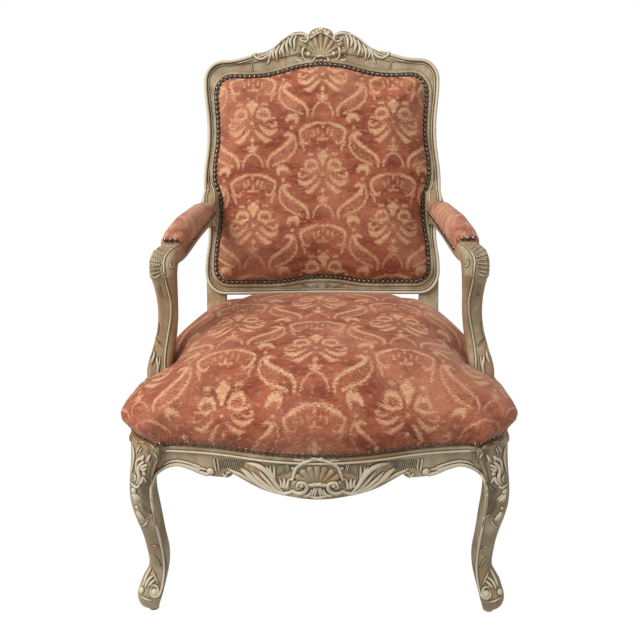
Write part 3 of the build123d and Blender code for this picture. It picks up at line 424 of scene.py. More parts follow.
def shifted(line, inset):
    """The parallel line, inset to the left of its headings."""
    moved = []
    for node in line:
        left_in, left_out = unit(node[2] + 90), unit(node[-1] + 90)
        step = (left_in + left_out) * (inset / (1.0 + left_in @ left_out))
        moved.append((node[0] + step[0], node[1] + step[1], *node[2:]))
    return moved


def even(points, step):
    """The same line with points at equal steps."""
    lengths = np.concatenate(([0.0], np.cumsum(np.hypot(*np.diff(points, axis=0).T))))
    spots = np.linspace(0.0, lengths[-1], max(2, int(round(lengths[-1] / step)) + 1))
    return np.stack([np.interp(spots, lengths, points[:, i]) for i in range(points.shape[1])], axis=1)


def both_halves(points):
    """A closed outline from the points of its right half."""
    return np.concatenate((points, (points * (-1.0, 1.0))[-2:0:-1]))


def seat_edge(soft):
    """The seat's line at the nails, with its corner cusp as sharp or as soft as asked."""
    cusp_in, cusp_out = -25 * (1 - soft) + 14 * soft, 50 * (1 - soft) + 14 * soft
    front = [(0, -557, 0), (250, -514, 4), (272, -523 + 6 * soft, cusp_in, cusp_out), (318, -484, 42)]
    side = [(333, -455, 86), (332, -400, 93), (314, -225, 99), (271, -10, 104, 180)]
    rear = [(216, -10, 180, 90), (216, 30, 90, 180), (0, 30, 180)]
    return [*front, *side, *rear]


NAIL_LINE = [
    (0, 73, 0), (125, 61, 0), (215, 61, 0), (246, 92, 90), (232, 240, 90), (246, 308, 90),
    (236, 407, 90), (240, 490, 90), (203, 530, 180), (164, 529, 180), (0, 555, 180),
]
FRAME_LINE = [
    (0, 34, 0), (225, 32, 0), (271, 84, 90), (262, 182, 90), (272, 280, 90), (261, 407, 90),
    (268, 518, 90), (222, 566, 180),
]
print("seat outline points:", len(both_halves(even(flow(seat_edge(0.0)), 8.0))))

# %% [markdown]
# Velvet with a woven damask figure has one colour in its ground and another in its figure, and the
# edge between them climbs in small steps, because it is woven thread by thread. Drawing the figure
# with shader nodes alone would need hundreds of them. So the figure is drawn here with tapered
# strokes, in millimetres from the middle of a flower, and each point of a cover learns how deep it
# lies inside the nearest stroke. The finish turns that depth into thread colours.

# %% The damask's strokes
FLOWER = [
    [(0, 19.5, 3.0), (0, 32, 6.5), (0, 43, 5.0)],
    [(8.2, 37.5, 4.0)],
    [(24.5, 40.5, 1.8), (33.5, 40.5, 1.8)],
    [(10, 52, 1.7)],
    [(14, 19.7, 2.6), (20.6, 26.2, 3.0), (33.8, 26.2, 3.0), (40.5, 19.7, 2.6), (40.5, 13, 2.0)],
    [(14, 19.7, 2.6), (14, 10.9, 2.6)],
    [(14, 10.9, 2.0), (29.4, 5.4, 3.2), (53.8, 8.3, 0.8)],
    [(29.4, 2.2, 2.5)],
    [(38, -5.4, 1.2), (47, -10.9, 1.8), (56, -8.8, 2.0), (57, -2.2, 1.8), (52.6, -1, 1.4)],
    [(17.2, -7.6, 1.5), (29.4, -19.7, 3.5), (40.5, -25.1, 4.6), (51.5, -21.8, 3.5), (58, -16.2, 1.0)],
    [(7.3, -19.7, 1.5), (18.3, -30.5, 3.6), (31.7, -41.4, 4.0), (43.8, -41, 0.8)],
    [(0, -39.3, 4.0)],
    [(0, -3, 3.0)],
    [(-11, -56, 1.6), (11, -56, 1.6)],
    [(0, -50, 1.5), (0, -58, 4.0), (0, -66.6, 2.5)],
    [(-7, -62.5, 2.2), (7, -62.5, 2.2)],
    [(3, -70, 1.4), (11.7, -74, 1.4), (20.6, -85, 1.4), (23.2, -92, 1.3), (23.9, -98, 1.2)],
]
SCROLLS = [
    [
        (36, -100, 1.5), (35, -88, 2.4), (42.6, -76, 2.6), (60.4, -64, 2.8), (78, -52.5, 3.2),
        (89, -42.5, 3.6), (92.5, -32.5, 3.6), (84.7, -26, 3.0), (76, -30, 1.6),
    ],
    [
        (49.3, -96, 1.3), (67, -89.3, 1.5), (84.7, -80.8, 1.6), (98, -67.6, 1.6), (103.4, -54.6, 1.6),
        (101.3, -37, 1.5), (95.8, -26, 1.2),
    ],
    [(82.5, 3.2, 2.6), (89, 10.4, 4.4), (101.6, 11.5, 5.0), (106, 5.5, 3.6), (103.4, -3.4, 1.4)],
    [(93.4, -14.2, 2.6)],
]
CROWN = [
    [(-9, -114, 1.5), (9, -114, 1.5)],
    [(0, -114, 1.3), (0, -123, 1.3)],
    [
        (14, -113, 1.8), (27, -117.2, 2.6), (42.6, -122.8, 2.8), (52.6, -130.2, 2.4),
        (52.6, -139.1, 2.2), (49.3, -149.7, 2.2), (43.5, -157.7, 2.0), (33.8, -158.6, 1.6),
        (31.7, -153, 1.0),
    ],
    [(52.6, -156.5, 1.3), (46, -165, 1.3), (43.8, -174, 1.3)],
    [(11.8, -126, 1.2), (10.9, -135, 1.2)],
    [(21.8, -130, 1.2), (20, -141.6, 1.2)],
    [(-11, -149, 1.4), (11, -149, 1.4)],
    [(0, -149, 1.3), (0, -139, 1.3)],
]
HALF_TONES = [
    [(27, 21, 9.0)],
    [(8, 4, 10.0), (20, -4, 11.0), (12, -14, 8.0)],
    [(60, -84, 6.0), (84, -64, 7.0), (95, -44, 4.0)],
    [(33, -140, 9.0)],
]
HALF_TONE_CAP = -1.9
COLUMN_PITCH = 157.0
FLOWER_PITCH = 226.0
FIGURE_SPAN = 0.945
CROWN_DROP = -3.0
FULLER = 1.28
REPEAT_MARGIN = 180.0
FIGURE_HALF, FIGURE_LOW, FIGURE_HIGH = 112.0, -184.0, 62.0


def stroke_depth(points, stroke):
    """How far inside a tapered stroke each point lies, in millimetres; negative outside."""
    line = np.array(stroke, float) * (1.0, 1.0, FULLER)
    if len(line) == 1:
        return line[0, 2] - np.hypot(*(points - line[0, :2]).T)
    best = np.full(len(points), -1e3)
    for a, b in zip(line, line[1:]):
        run = b[:2] - a[:2]
        share = np.clip((points - a[:2]) @ run / max(run @ run, 1e-9), 0.0, 1.0)
        near = a[:2] + share[:, None] * run
        best = np.maximum(best, a[2] + (b[2] - a[2]) * share - np.hypot(*(points - near).T))
    return best


def damask_depth(cloth, flower):
    """Depth inside the figure, for cloth coordinates in millimetres and the place of one flower."""
    depth = np.full(len(cloth), -9.0)
    low, high = cloth.min(0) - REPEAT_MARGIN, cloth.max(0) + REPEAT_MARGIN
    first = int(math.floor((low[0] - flower[0]) / COLUMN_PITCH))
    last = int(math.ceil((high[0] - flower[0]) / COLUMN_PITCH))
    for column in range(first, last + 1):
        drop = FLOWER_PITCH / 2 * (column % 2)
        start = int(math.floor((low[1] - flower[1] - drop) / FLOWER_PITCH))
        stop = int(math.ceil((high[1] - flower[1] - drop) / FLOWER_PITCH))
        for row in range(start, stop + 1):
            middle = np.array((flower[0] + column * COLUMN_PITCH, flower[1] + drop + row * FLOWER_PITCH))
            local = cloth - middle
            across, up = local.T
            close = (abs(across) < FIGURE_HALF) & (up > FIGURE_LOW) & (up < FIGURE_HIGH)
            if not close.any():
                continue
            folded = np.abs(local[close]) * (1 / FIGURE_SPAN, 0) + local[close] * (0, 1)
            found = depth[close]
            for stroke in (*FLOWER, *SCROLLS):
                found = np.maximum(found, stroke_depth(folded, stroke))
            for stroke in CROWN:
                found = np.maximum(found, stroke_depth(folded - (0.0, CROWN_DROP), stroke))
            for stroke in HALF_TONES:
                found = np.maximum(found, np.minimum(stroke_depth(folded, stroke), HALF_TONE_CAP))
            depth[close] = found
    return depth


print("damask strokes:", len(FLOWER) + len(SCROLLS) + len(CROWN))

# %% [markdown]
# The velvet's finish. Short threads run across the cloth, so the noise that breaks the figure's edge
# is stretched sideways. The pile is worn: paler and pinker where it was rubbed, darker in patches.

# %% Damask velvet


def velvet_finish(name, figure_strength, wear, worn_colour):
    material, tree, shader = new_finish(name)
    depth = put(tree, "ShaderNodeAttribute", attribute_name="figure").outputs["Fac"]
    cloth = put(tree, "ShaderNodeAttribute", attribute_name="cloth").outputs["Vector"]
    threads = cloud(tree, stretched(tree, cloth, (170.0, 900.0, 1.0)), 1.0, 2.0)
    steps = cloud(tree, stretched(tree, cloth, (330.0, 420.0, 1.0)), 1.0, 1.0)
    ragged = sums(tree, "MULTIPLY", sums(tree, "SUBTRACT", sums(tree, "ADD", threads, steps), 1.0), 10.0)
    figure = spread(tree, sums(tree, "ADD", depth, ragged), -2.8, 2.4, 0.0, figure_strength)
    patches = spread(tree, cloud(tree, stretched(tree, cloth, (16.0, 40.0, 1.0)), 1.0, 4.0), 0.35, 0.65)
    ground = tint(tree, patches, (0.225, 0.050, 0.026, 1.0), (0.385, 0.110, 0.058, 1.0))
    fig_cloud = cloud(tree, stretched(tree, cloth, (60.0, 240.0, 1.0)), 1.0, 3.0)
    fig_shade = spread(tree, fig_cloud, 0.35, 0.65)
    fig_colour = tint(tree, fig_shade, (0.58, 0.285, 0.14, 1.0), (0.72, 0.43, 0.25, 1.0))
    flecks = cloud(tree, stretched(tree, cloth, (75.0, 190.0, 1.0)), 1.0, 3.0)
    flecked = tint(tree, spread(tree, flecks, 0.52, 0.74, 0.0, 0.5), ground, fig_colour)
    woven = tint(tree, figure, flecked, fig_colour)
    worn_place = spread(tree, cloud(tree, cloth, 5.5, 4.0), 0.42, 0.68, 0.0, wear)
    worn = tint(tree, worn_place, woven, worn_colour)
    lines = spread(tree, threads, 0.3, 0.7, 0.76, 1.2)
    line_grey = put(tree, "ShaderNodeCombineColor", {0: lines, 1: lines, 2: lines}).outputs[0]
    lined = tint(tree, 1.0, worn, line_grey, "MULTIPLY")
    pile = cloud(tree, stretched(tree, cloth, (700.0, 1300.0, 1.0)), 1.0, 2.0)
    height = sums(tree, "ADD", pile, sums(tree, "MULTIPLY", figure, 0.4))
    feed(tree, shader, Base_Color=lined, Roughness=0.92, Normal=bumped(tree, height, 0.35, 0.0012))
    feed(tree, shader, Sheen_Weight=0.3, Sheen_Roughness=0.4, Sheen_Tint=(1.0, 0.72, 0.55, 1.0))
    feed(tree, shader, Specular_IOR_Level=0.2)
    return material


damask_velvet = velvet_finish("damask_velvet", 0.95, 0.45, (0.60, 0.265, 0.155, 1.0))
pad_velvet = velvet_finish("pad_velvet", 0.5, 0.9, (0.70, 0.40, 0.28, 1.0))
plain_velvet = velvet_finish("plain_velvet", 0.0, 0.3, (0.60, 0.265, 0.155, 1.0))
print("velvet finishes:", damask_velvet.name, pad_velvet.name, plain_velvet.name)

# %% [markdown]
# A stuffed cover starts as a stack of outlines, bridged into a closed form. The form is remeshed into
# small even cells, and its underside is taken away, because the cloth ends at the nails. Then a cloth
# simulation blows it up a little, as the stuffing does, with its border held. How far a point may move
# is capped, so that the seat keeps its drawn shape. At last the mesh is divided once more.

# %% Making stuffed covers


def stacked(rings):
    """Closed form from rings of points, bridged one to the next and capped."""
    form = bmesh.new()
    loops = []
    for ring in rings:
        points = [form.verts.new(p) for p in ring]
        loops.append([form.edges.new((p, q)) for p, q in zip(points, points[1:] + points[:1])])
    for lower, upper in zip(loops, loops[1:]):
        bmesh.ops.bridge_loops(form, edges=lower + upper)
    bmesh.ops.holes_fill(form, edges=form.edges[:], sides=0)
    bmesh.ops.recalc_face_normals(form, faces=form.faces[:])
    return form


def as_object(name, form, finish):
    mesh = bpy.data.meshes.new(name)
    form.to_mesh(mesh)
    form.free()
    mesh.materials.append(finish)
    made = bpy.data.objects.new(name, mesh)
    scene.collection.objects.link(made)
    return made


def settle(made):
    """Replaces an object's mesh by what its modifiers make of it."""
    graph = bpy.context.evaluated_depsgraph_get()
    result = bpy.data.meshes.new_from_object(made.evaluated_get(graph))
    made.modifiers.clear()
    old = made.data
    made.data = result
    bpy.data.meshes.remove(old)


def places(made):
    spots = np.empty(len(made.data.vertices) * 3)
    made.data.vertices.foreach_get("co", spots)
    return spots.reshape(-1, 3)


def put_places(made, spots):
    made.data.vertices.foreach_set("co", spots.ravel())
    made.data.update()


def remeshed(made, cell):
    remesh = made.modifiers.new("cells", "REMESH")
    remesh.mode = "VOXEL"
    remesh.voxel_size = cell
    settle(made)


def without_faces(made, unwanted):
    """Deletes the faces that the test picks, given their middle and normal."""
    form = bmesh.new()
    form.from_mesh(made.data)
    picked = [face for face in form.faces if unwanted(face.calc_center_median(), face.normal)]
    bmesh.ops.delete(form, geom=picked, context="FACES")
    form.to_mesh(made.data)
    form.free()


def smoothed(made, rounds, held):
    """Evens a mesh out, apart from the held vertices."""
    form = bmesh.new()
    form.from_mesh(made.data)
    free = [v for v in form.verts if not held(v.co)]
    axes = {"use_axis_x": True, "use_axis_y": True, "use_axis_z": True}
    for _ in range(rounds):
        bmesh.ops.smooth_vert(form, verts=free, factor=0.5, **axes)
    form.to_mesh(made.data)
    form.free()


SWELL_FRAMES = 20


def swollen(made, pressure, cap, held):
    """Lets the cover swell like cloth under pressure, with the held vertices pinned."""
    before = places(made)
    pins = made.vertex_groups.new(name="held")
    pins.add([i for i, p in enumerate(before) if held(Vector(p))], 1.0, "REPLACE")
    cloth = made.modifiers.new("stuffing", "CLOTH")
    cloth.settings.use_pressure = True
    cloth.settings.uniform_pressure_force = pressure
    cloth.settings.vertex_group_mass = "held"
    cloth.settings.effector_weights.gravity = 0.0
    cloth.settings.quality = 4
    cloth.point_cache.frame_start = 1
    cloth.point_cache.frame_end = SWELL_FRAMES
    for step in range(1, SWELL_FRAMES + 1):
        scene.frame_set(step)
    settle(made)
    scene.frame_set(1)
    made.vertex_groups.clear()
    moved = places(made) - before
    reach = np.linalg.norm(moved, axis=1, keepdims=True)
    put_places(made, before + moved * np.minimum(1.0, cap / np.maximum(reach, 1e-9)))
    print(made.name, "swelled by up to", round(float(min(reach.max(), cap)) * 1000, 1), "mm")


def shade_smooth(made):
    for polygon in made.data.polygons:
        polygon.use_smooth = True


def divided(made):
    finer = made.modifiers.new("finer", "SUBSURF")
    finer.levels = 1
    finer.render_levels = 1
    settle(made)
    shade_smooth(made)


def solid_tree(names):
    """One search tree over the faces of several solids."""
    corners, faces = [], []
    for name in names:
        mesh = nodes[name].data
        start = len(corners)
        corners.extend(v.co.copy() for v in mesh.vertices)
        faces.extend([i + start for i in p.vertices] for p in mesh.polygons)
    return BVHTree.FromPolygons(corners, faces)


def clear_of(made, names, gap):
    """Moves vertices that lie inside the named solids, or nearer than the gap, out to their surface."""
    spots = places(made)
    for name in names:
        tree = solid_tree([name])
        low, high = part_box(name)
        near = np.all((spots > np.array(low) - gap) & (spots < np.array(high) + gap), axis=1)
        for i in np.nonzero(near)[0]:
            point = Vector(spots[i])
            surface, normal, _, distance = tree.find_nearest(point)
            if surface is None:
                continue
            if distance < gap or (point - surface).dot(normal) < -0.7 * distance:
                spots[i] = surface + normal * gap
    put_places(made, spots)


def note(made, name, values, kind="FLOAT"):
    """Keeps one value for each vertex, for the finish to read."""
    layer = made.data.attributes.new(name, kind, "POINT")
    field = "value" if kind == "FLOAT" else "vector"
    layer.data.foreach_set(field, np.ascontiguousarray(values, np.float32).ravel())


def weave(made, cloth, flower, fading=0.0):
    """Gives a cover its cloth coordinates, in metres, and its depth inside the damask figure."""
    note(made, "cloth", np.column_stack((cloth * MM, np.zeros(len(cloth)))), "FLOAT_VECTOR")
    note(made, "figure", damask_depth(cloth, flower) - fading)


print("cover helpers are ready")

# %% [markdown]
# The seat's cover is a broad crowned form. It is upright at the nails, swells out a little over them,
# and rolls over into a dome. Each row gives a height, the share of the outline there, how soft the
# outline's corners are, and how far the sides draw in ahead of the arm supports. The cover is pulled
# down round the feet of the supports, and its points are pushed clear of the wood at the end. Towards
# the nails the pile is worn, so the figure fades there.

# %% Seat cover
SEAT_MIDDLE = -263.5
SEAT_ROWS = [
    (373.5, 1.002, 0.0, 1.0),
    (384.0, 1.002, 0.0, 1.0),
    (387.0, 1.006, 0.2, 1.0),
    (392.0, 1.030, 0.8, 1.005),
    (400.0, 1.047, 1.0, 1.01),
    (412.0, 1.052, 1.0, 1.01),
    (428.0, 1.038, 1.0, 0.995),
    (447.0, 0.995, 1.0, 0.93),
    (464.0, 0.935, 1.0, 0.88),
    (482.0, 0.86, 1.0, 0.84),
    (496.5, 0.76, 1.0, 0.82),
    (507.0, 0.61, 1.0, 0.83),
    (512.5, 0.40, 1.0, 0.87),
    (514.5, 0.20, 1.0, 1.0),
]
SUPPORT_FRONT, SUPPORT_REAR = -345.0, -225.0


def seat_ring(z, share, soft, front_side):
    """The seat's outline at one height. Its sides narrow more in front of the arm supports."""
    line = both_halves(even(flow(seat_edge(soft)), 7.0))
    side = np.interp(line[:, 1], (SUPPORT_FRONT, SUPPORT_REAR), (front_side, 1.0))
    behind = line[:, 1] > SEAT_MIDDLE
    line[:, 0] *= share * side
    line[:, 1] = SEAT_MIDDLE + (line[:, 1] - SEAT_MIDDLE) * np.where(behind, min(share, 1.0), share)
    return [on_plan(x, y, z) for x, y in line]


def even_rings(rings, count):
    """Rings of points, made to have the same number of points each."""
    same = []
    for ring in rings:
        closed = np.array([*ring, ring[0]])
        lengths = np.concatenate(([0.0], np.cumsum(np.linalg.norm(np.diff(closed, axis=0), axis=1))))
        spots = np.linspace(0.0, lengths[-1], count + 1)[:-1]
        same.append(np.stack([np.interp(spots, lengths, closed[:, i]) for i in range(3)], axis=1))
    return same


seat_rings = even_rings([seat_ring(*row) for row in SEAT_ROWS], 240)
seat = as_object("seat_damask", stacked(seat_rings), damask_velvet)
SEAT_CELL, SEAT_BASE_Z, SEAT_HOLD_Z = 0.0055, 0.376, 0.3895
remeshed(seat, SEAT_CELL)
without_faces(seat, lambda middle, normal: middle.z < SEAT_BASE_Z and normal.z < -0.5)


def seat_held(point):
    return point.z < SEAT_HOLD_Z


smoothed(seat, 3, seat_held)
swollen(seat, 4.0, 0.004, seat_held)
smoothed(seat, 1, seat_held)
divided(seat)

SUPPORT_FOOT = (312.0, -300.0)
DIP_DEEP, DIP_WIDE, DIP_LOWEST, DIP_EASE = 40.0, 52.0, 412.0, 30.0


def dipped(made):
    """Pulls the cover down round the foot of each arm support."""
    spots = places(made) / MM
    across = np.abs(spots[:, 0]) - SUPPORT_FOOT[0]
    along = spots[:, 1] - BACK_FACE_Y - SUPPORT_FOOT[1]
    near = np.exp(-(across**2 + along**2) / DIP_WIDE**2)
    above = np.clip((spots[:, 2] - DIP_LOWEST) / DIP_EASE, 0.0, 1.0)
    spots[:, 2] -= DIP_DEEP * near * above
    put_places(made, spots * MM)


dipped(seat)
SEAT_NEIGHBOURS = [name for name in nodes if "rail" in name or "leg" in name or "post" in name]
SEAT_NEIGHBOURS += ["arm_support_left", "arm_support_right"]
clear_of(seat, SEAT_NEIGHBOURS, 0.0012)

seat_spots = places(seat) / MM
seat_x = seat_spots[:, 0]
seat_y = seat_spots[:, 1] - BACK_FACE_Y
ROLL_Z, CLOTH_EASE = 450.0, 0.9
SEAT_HALF_WIDE, FRONT_REACH, REAR_REACH = 330.0, 290.0, 230.0
SEAT_FLOWER = (-4.0, -408.8)
seat_drop = np.maximum(0.0, ROLL_Z - seat_spots[:, 2]) * CLOTH_EASE
seat_side = np.clip(np.abs(seat_x) / SEAT_HALF_WIDE, 0.0, 1.0) ** 3
seat_front = np.clip((SEAT_MIDDLE - seat_y) / FRONT_REACH, 0.0, 1.0) ** 3
seat_along = SEAT_FLOWER[1] + (seat_y - SEAT_FLOWER[1]) * CLOTH_EASE
seat_rear = np.clip((seat_y - SEAT_MIDDLE) / REAR_REACH, 0.0, 1.0) ** 6
seat_across = seat_x + np.sign(seat_x) * seat_drop * seat_side
seat_cloth = np.column_stack((seat_across, seat_along + seat_drop * (seat_rear - seat_front)))
seat_fading = np.interp(seat_spots[:, 2], (395.0, 455.0), (2.6, 0.3))
weave(seat, seat_cloth, SEAT_FLOWER, seat_fading)
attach(seat, "root")
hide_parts("seat_cover", "seat_stuffing")
print("seat cover:", len(seat.data.polygons), "faces, top at", round(seat_spots[:, 2].max(), 1), "mm")

# %% [markdown]
# The back's cover is a shallow pillow inside the nails of the back frame. It is made in the same way,
# on the leaning plane of the back.

# %% Back cover
# Distance out of the back's face, inset from the nails, and size.
BACK_ROWS = [
    (-1.0, 5.0, 1.0), (3.0, 5.0, 1.0), (14.0, 6.0, 0.99), (26.0, 10.0, 0.95), (36.0, 16.0, 0.86),
    (40.0, 20.0, 0.7), (41.0, 24.0, 0.45),
]
BACK_CENTRE = 305.0


def back_ring(out, inset, share):
    line = both_halves(even(flow(shifted(NAIL_LINE, inset)), 7.0))
    line[:, 0] *= share
    line[:, 1] = BACK_CENTRE + (line[:, 1] - BACK_CENTRE) * share
    return [on_back(x, up, out) for x, up in line]


def back_depth(point):
    """How far a point stands out of the back's face, in metres."""
    return (point - BACK_ORIGIN * MM).dot(BACK_OUT)


back_rings = even_rings([back_ring(*row) for row in BACK_ROWS], 220)
back = as_object("back_damask", stacked(back_rings), damask_velvet)
BACK_CELL, BACK_BASE, BACK_HOLD = 0.0048, 0.001, 0.0035
remeshed(back, BACK_CELL)
without_faces(back, lambda middle, normal: back_depth(middle) < BACK_BASE and normal.dot(BACK_OUT) < -0.5)


def back_held(point):
    return back_depth(point) < BACK_HOLD


smoothed(back, 3, back_held)
swollen(back, 4.0, 0.008, back_held)
smoothed(back, 2, back_held)
divided(back)
back_spots = places(back) / MM
back_up = (back_spots - np.array(BACK_ORIGIN)) @ np.array(BACK_UP)
BACK_FLOWER = (3.5, BACK_CENTRE)
weave(back, np.column_stack((back_spots[:, 0], back_up)), BACK_FLOWER)
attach(back, "root")
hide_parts("back_cover", "back_stuffing")
print("back cover:", len(back.data.polygons), "faces")

# %% [markdown]
# Each arm carries a small pad: a saddle of stuffing under velvet, nailed along both sides of the arm.
# Its sections are placed along the arm's own run, and each is an upright side, a round top and a flat
# base. One pad is made, and the other is its mirror image.

# %% Arm pads
ARM_ROOT_Z = 692.73
# Place across, along and below the arm's root, tilt and turn in degrees, width, height, rise.
PAD_ROWS = [
    (257.7, -2, 17.5, 10, 5, 36.5, 36, 0.15),
    (261.5, -40, 23.5, 8, 6, 37.5, 36, 0.72),
    (275, -150, 34, 6, 7, 41, 38, 1.0),
    (283, -212, 42, 9, 5, 42.5, 37, 0.85),
    (286, -236, 45.4, 12, 4, 43, 36, 0.40),
]
PAD_RISE, PAD_SIDE = 26.0, 3.6


def pad_ring(x, y, drop, tilt, turn, width, height, rise):
    down, out = math.radians(tilt), math.radians(turn)
    run = Vector((math.sin(out) * math.cos(down), -math.cos(out) * math.cos(down), -math.sin(down)))
    across = Vector((math.cos(out), math.sin(out), 0.0))
    up = run.cross(across)
    half, top = width / 2 + PAD_SIDE, height / 2 + PAD_RISE * rise
    low, brow = -height / 6, height / 2 - 6
    ring = [(-half, low), (half, low), (half, (low + brow) / 2)]
    for k in range(13):
        turn_k = math.pi * k / 12
        ring.append((half * math.cos(turn_k), brow + (top - brow) * math.sin(turn_k) ** 0.8))
    ring.append((-half, (low + brow) / 2))
    start = on_plan(x, y, ARM_ROOT_Z - drop)
    return [start + (across * a + up * b) * MM for a, b in ring]


pad_rings = even_rings([pad_ring(*row) for row in PAD_ROWS], 48)
pad = as_object("arm_pad_velvet_right", stacked(pad_rings), pad_velvet)
PAD_CELL = 0.004
remeshed(pad, PAD_CELL)


def pad_low(point):
    """True near the pad's lower edge, where the nails hold it."""
    runs, drops = [-row[1] for row in PAD_ROWS], [row[2] for row in PAD_ROWS]
    drop = np.interp(-point.y / MM + BACK_FACE_Y, runs, drops)
    return point.z / MM < ARM_ROOT_Z - drop + 1.0


smoothed(pad, 4, pad_low)
swollen(pad, 3.0, 0.003, pad_low)
smoothed(pad, 2, pad_low)
divided(pad)
pad_spots = places(pad) / MM
PAD_FLOWER, PAD_SHIFT, PAD_DROP_SHARE = (270.0, 30.0), 40.0, 0.4
pad_along = pad_spots[:, 1] - pad_spots[:, 2] * PAD_DROP_SHARE
weave(pad, np.column_stack((pad_spots[:, 0] + PAD_SHIFT, pad_along)), PAD_FLOWER)


def mirrored(form):
    """The mirror image alone, about the chair's middle plane."""
    image = form.copy()
    bmesh.ops.scale(image, vec=(-1.0, 1.0, 1.0), verts=image.verts[:])
    bmesh.ops.reverse_faces(image, faces=image.faces[:])
    return image


pad_form = bmesh.new()
pad_form.from_mesh(pad.data)
pad_left = as_object("arm_pad_velvet_left", mirrored(pad_form), pad_velvet)
pad_form.free()
for piece, side in ((pad, "right"), (pad_left, "left")):
    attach(piece, "root")
    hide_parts(f"arm_pad_cover_{side}", f"arm_pad_stuffing_{side}")
print("arm pads:", len(pad.data.polygons), "faces each")

# %% [markdown]
# The carver cut leaves, shells and scrolls into the rails, the legs and the arms. Sculpting them as one
# skin would hide how they were made, so each cut leaf is a tapered stroke: a soft curve with its own
# thickness at every point, half sunk in the wood. A stroke is drawn as the camera sees it, on sheets that
# enlarge a window of the picture frame, and each of its points is cast from the camera on to the wood,
# so it lies on the real surface from every side. The chair is the same left and right, so the left half
# is drawn and mirrored. Each vertex then learns how far it stands out, which tells the paint where to lay
# dark glaze with painted shade in the hollows and where to paint the ridges paler, as painted highlight
# with rubbed paint. Round each stroke lies a thin dark border on the wood, which is painted shade of its
# crevice together with glaze.

# %% Casting strokes on to the wood
WOOD_WORDS = ("leg", "post", "seat_rail", "crest_rail", "lower_back_rail")
ARM_NAMES = ("arm_support_left", "arm_support_right", "arm_left", "arm_right")
wood_names = [name for name in nodes if any(word in name for word in WOOD_WORDS) or name in ARM_NAMES]
wood = solid_tree(wood_names)
FRAME_PIXELS = 640.0
FOCAL = FRAME_PIXELS * camera_data.lens / camera_data.sensor_width
EYE = camera.matrix_world.translation.copy()
SAME_DEPTH = 0.12


def cast(across, down, depth):
    """The wood that the camera sees at a place in its frame, or the wood nearest to the line of sight."""
    middle = FRAME_PIXELS / 2
    sight = Vector(((across - middle) / FOCAL, (middle - down) / FOCAL, -1.0)).normalized()
    sight = camera.matrix_world.to_3x3() @ sight
    spot, normal, _, distance = wood.ray_cast(EYE, sight)
    if spot is None or abs(distance - depth) > SAME_DEPTH:
        spot, normal, _, _ = wood.find_nearest(EYE + sight * depth)
        distance = (spot - EYE).length
    return spot, normal, distance


def laid(strokes, sheet, fuller=1.0):
    """Strokes of (x, y, half width in mm) on an enlarged sheet, as points on the wood with normals."""
    left, top, scale, depth = sheet
    result = []
    for stroke in strokes:
        line = []
        for x, y, half in stroke:
            spot, normal, depth = cast(left + x / scale, top + y / scale, depth)
            line.append((spot, normal, half * fuller * MM))
        result.append(line)
    return result


def rounded(line, count=5):
    """The line's smooth run: arcs through the middles between its points, as the strokes are drawn."""
    if len(line) == 2:
        return line
    run = [line[0]]
    for k in range(1, len(line) - 1):
        before, here, after = line[k - 1], line[k], line[k + 1]
        first = 1.0 if k == 1 else 0.5
        last = 1.0 if k == len(line) - 2 else 0.5
        start = [b * first + h * (1.0 - first) for b, h in zip(before, here)]
        end = [a * last + h * (1.0 - last) for a, h in zip(after, here)]
        for t in np.arange(1, count + 1) / count:
            near, mid, far = (1 - t) ** 2, 2 * t * (1 - t), t**2
            run.append(tuple(s * near + h * mid + e * far for s, h, e in zip(start, here, end)))
    return run


# The dark border round each stroke: its width and its height above the wood. It is painted shade of the
# crevice, with glaze.
GLAZE_SHADE_REACH, GLAZE_SHADE_LIFT = 1.1 * MM, 0.25 * MM


def on_wood(form, spot):
    """A new vertex just above the wood nearest to a place."""
    near, up, _, _ = wood.find_nearest(spot)
    return form.verts.new(near + up * GLAZE_SHADE_LIFT), up


def outward_face(form, corners):
    face = form.faces.new([vertex for vertex, _ in corners])
    face.normal_update()
    if face.normal.dot(corners[0][1]) < 0.0:
        face.normal_flip()


def glaze_shade_border(form, line, reach=GLAZE_SHADE_REACH):
    """Adds the thin dark border beside a stroke or a ball: painted shade of its crevice, with dark glaze.
    """
    if len(line) == 1:
        spot, normal, half = line[0]
        side = normal.orthogonal().normalized()
        turns = [Quaternion(normal, math.tau * k / 12) @ side for k in range(12)]
        rim = [on_wood(form, spot + turn * (half + reach)) for turn in turns]
        outward_face(form, rim)
        return
    run = rounded(line)
    rows = []
    for k, (spot, normal, half) in enumerate(run):
        ahead = run[min(k + 1, len(run) - 1)][0] - run[max(k - 1, 0)][0]
        side = normal.cross(ahead).normalized() * (half + reach)
        rows.append([on_wood(form, spot + side * share) for share in (-1.0, 0.0, 1.0)])
    for here, there in zip(rows, rows[1:]):
        for k in (0, 1):
            outward_face(form, [here[k], here[k + 1], there[k + 1], there[k]])


# Width of a scored line, drawn only as a dark border of painted shade with glaze.
SCORE_REACH = 0.45 * MM


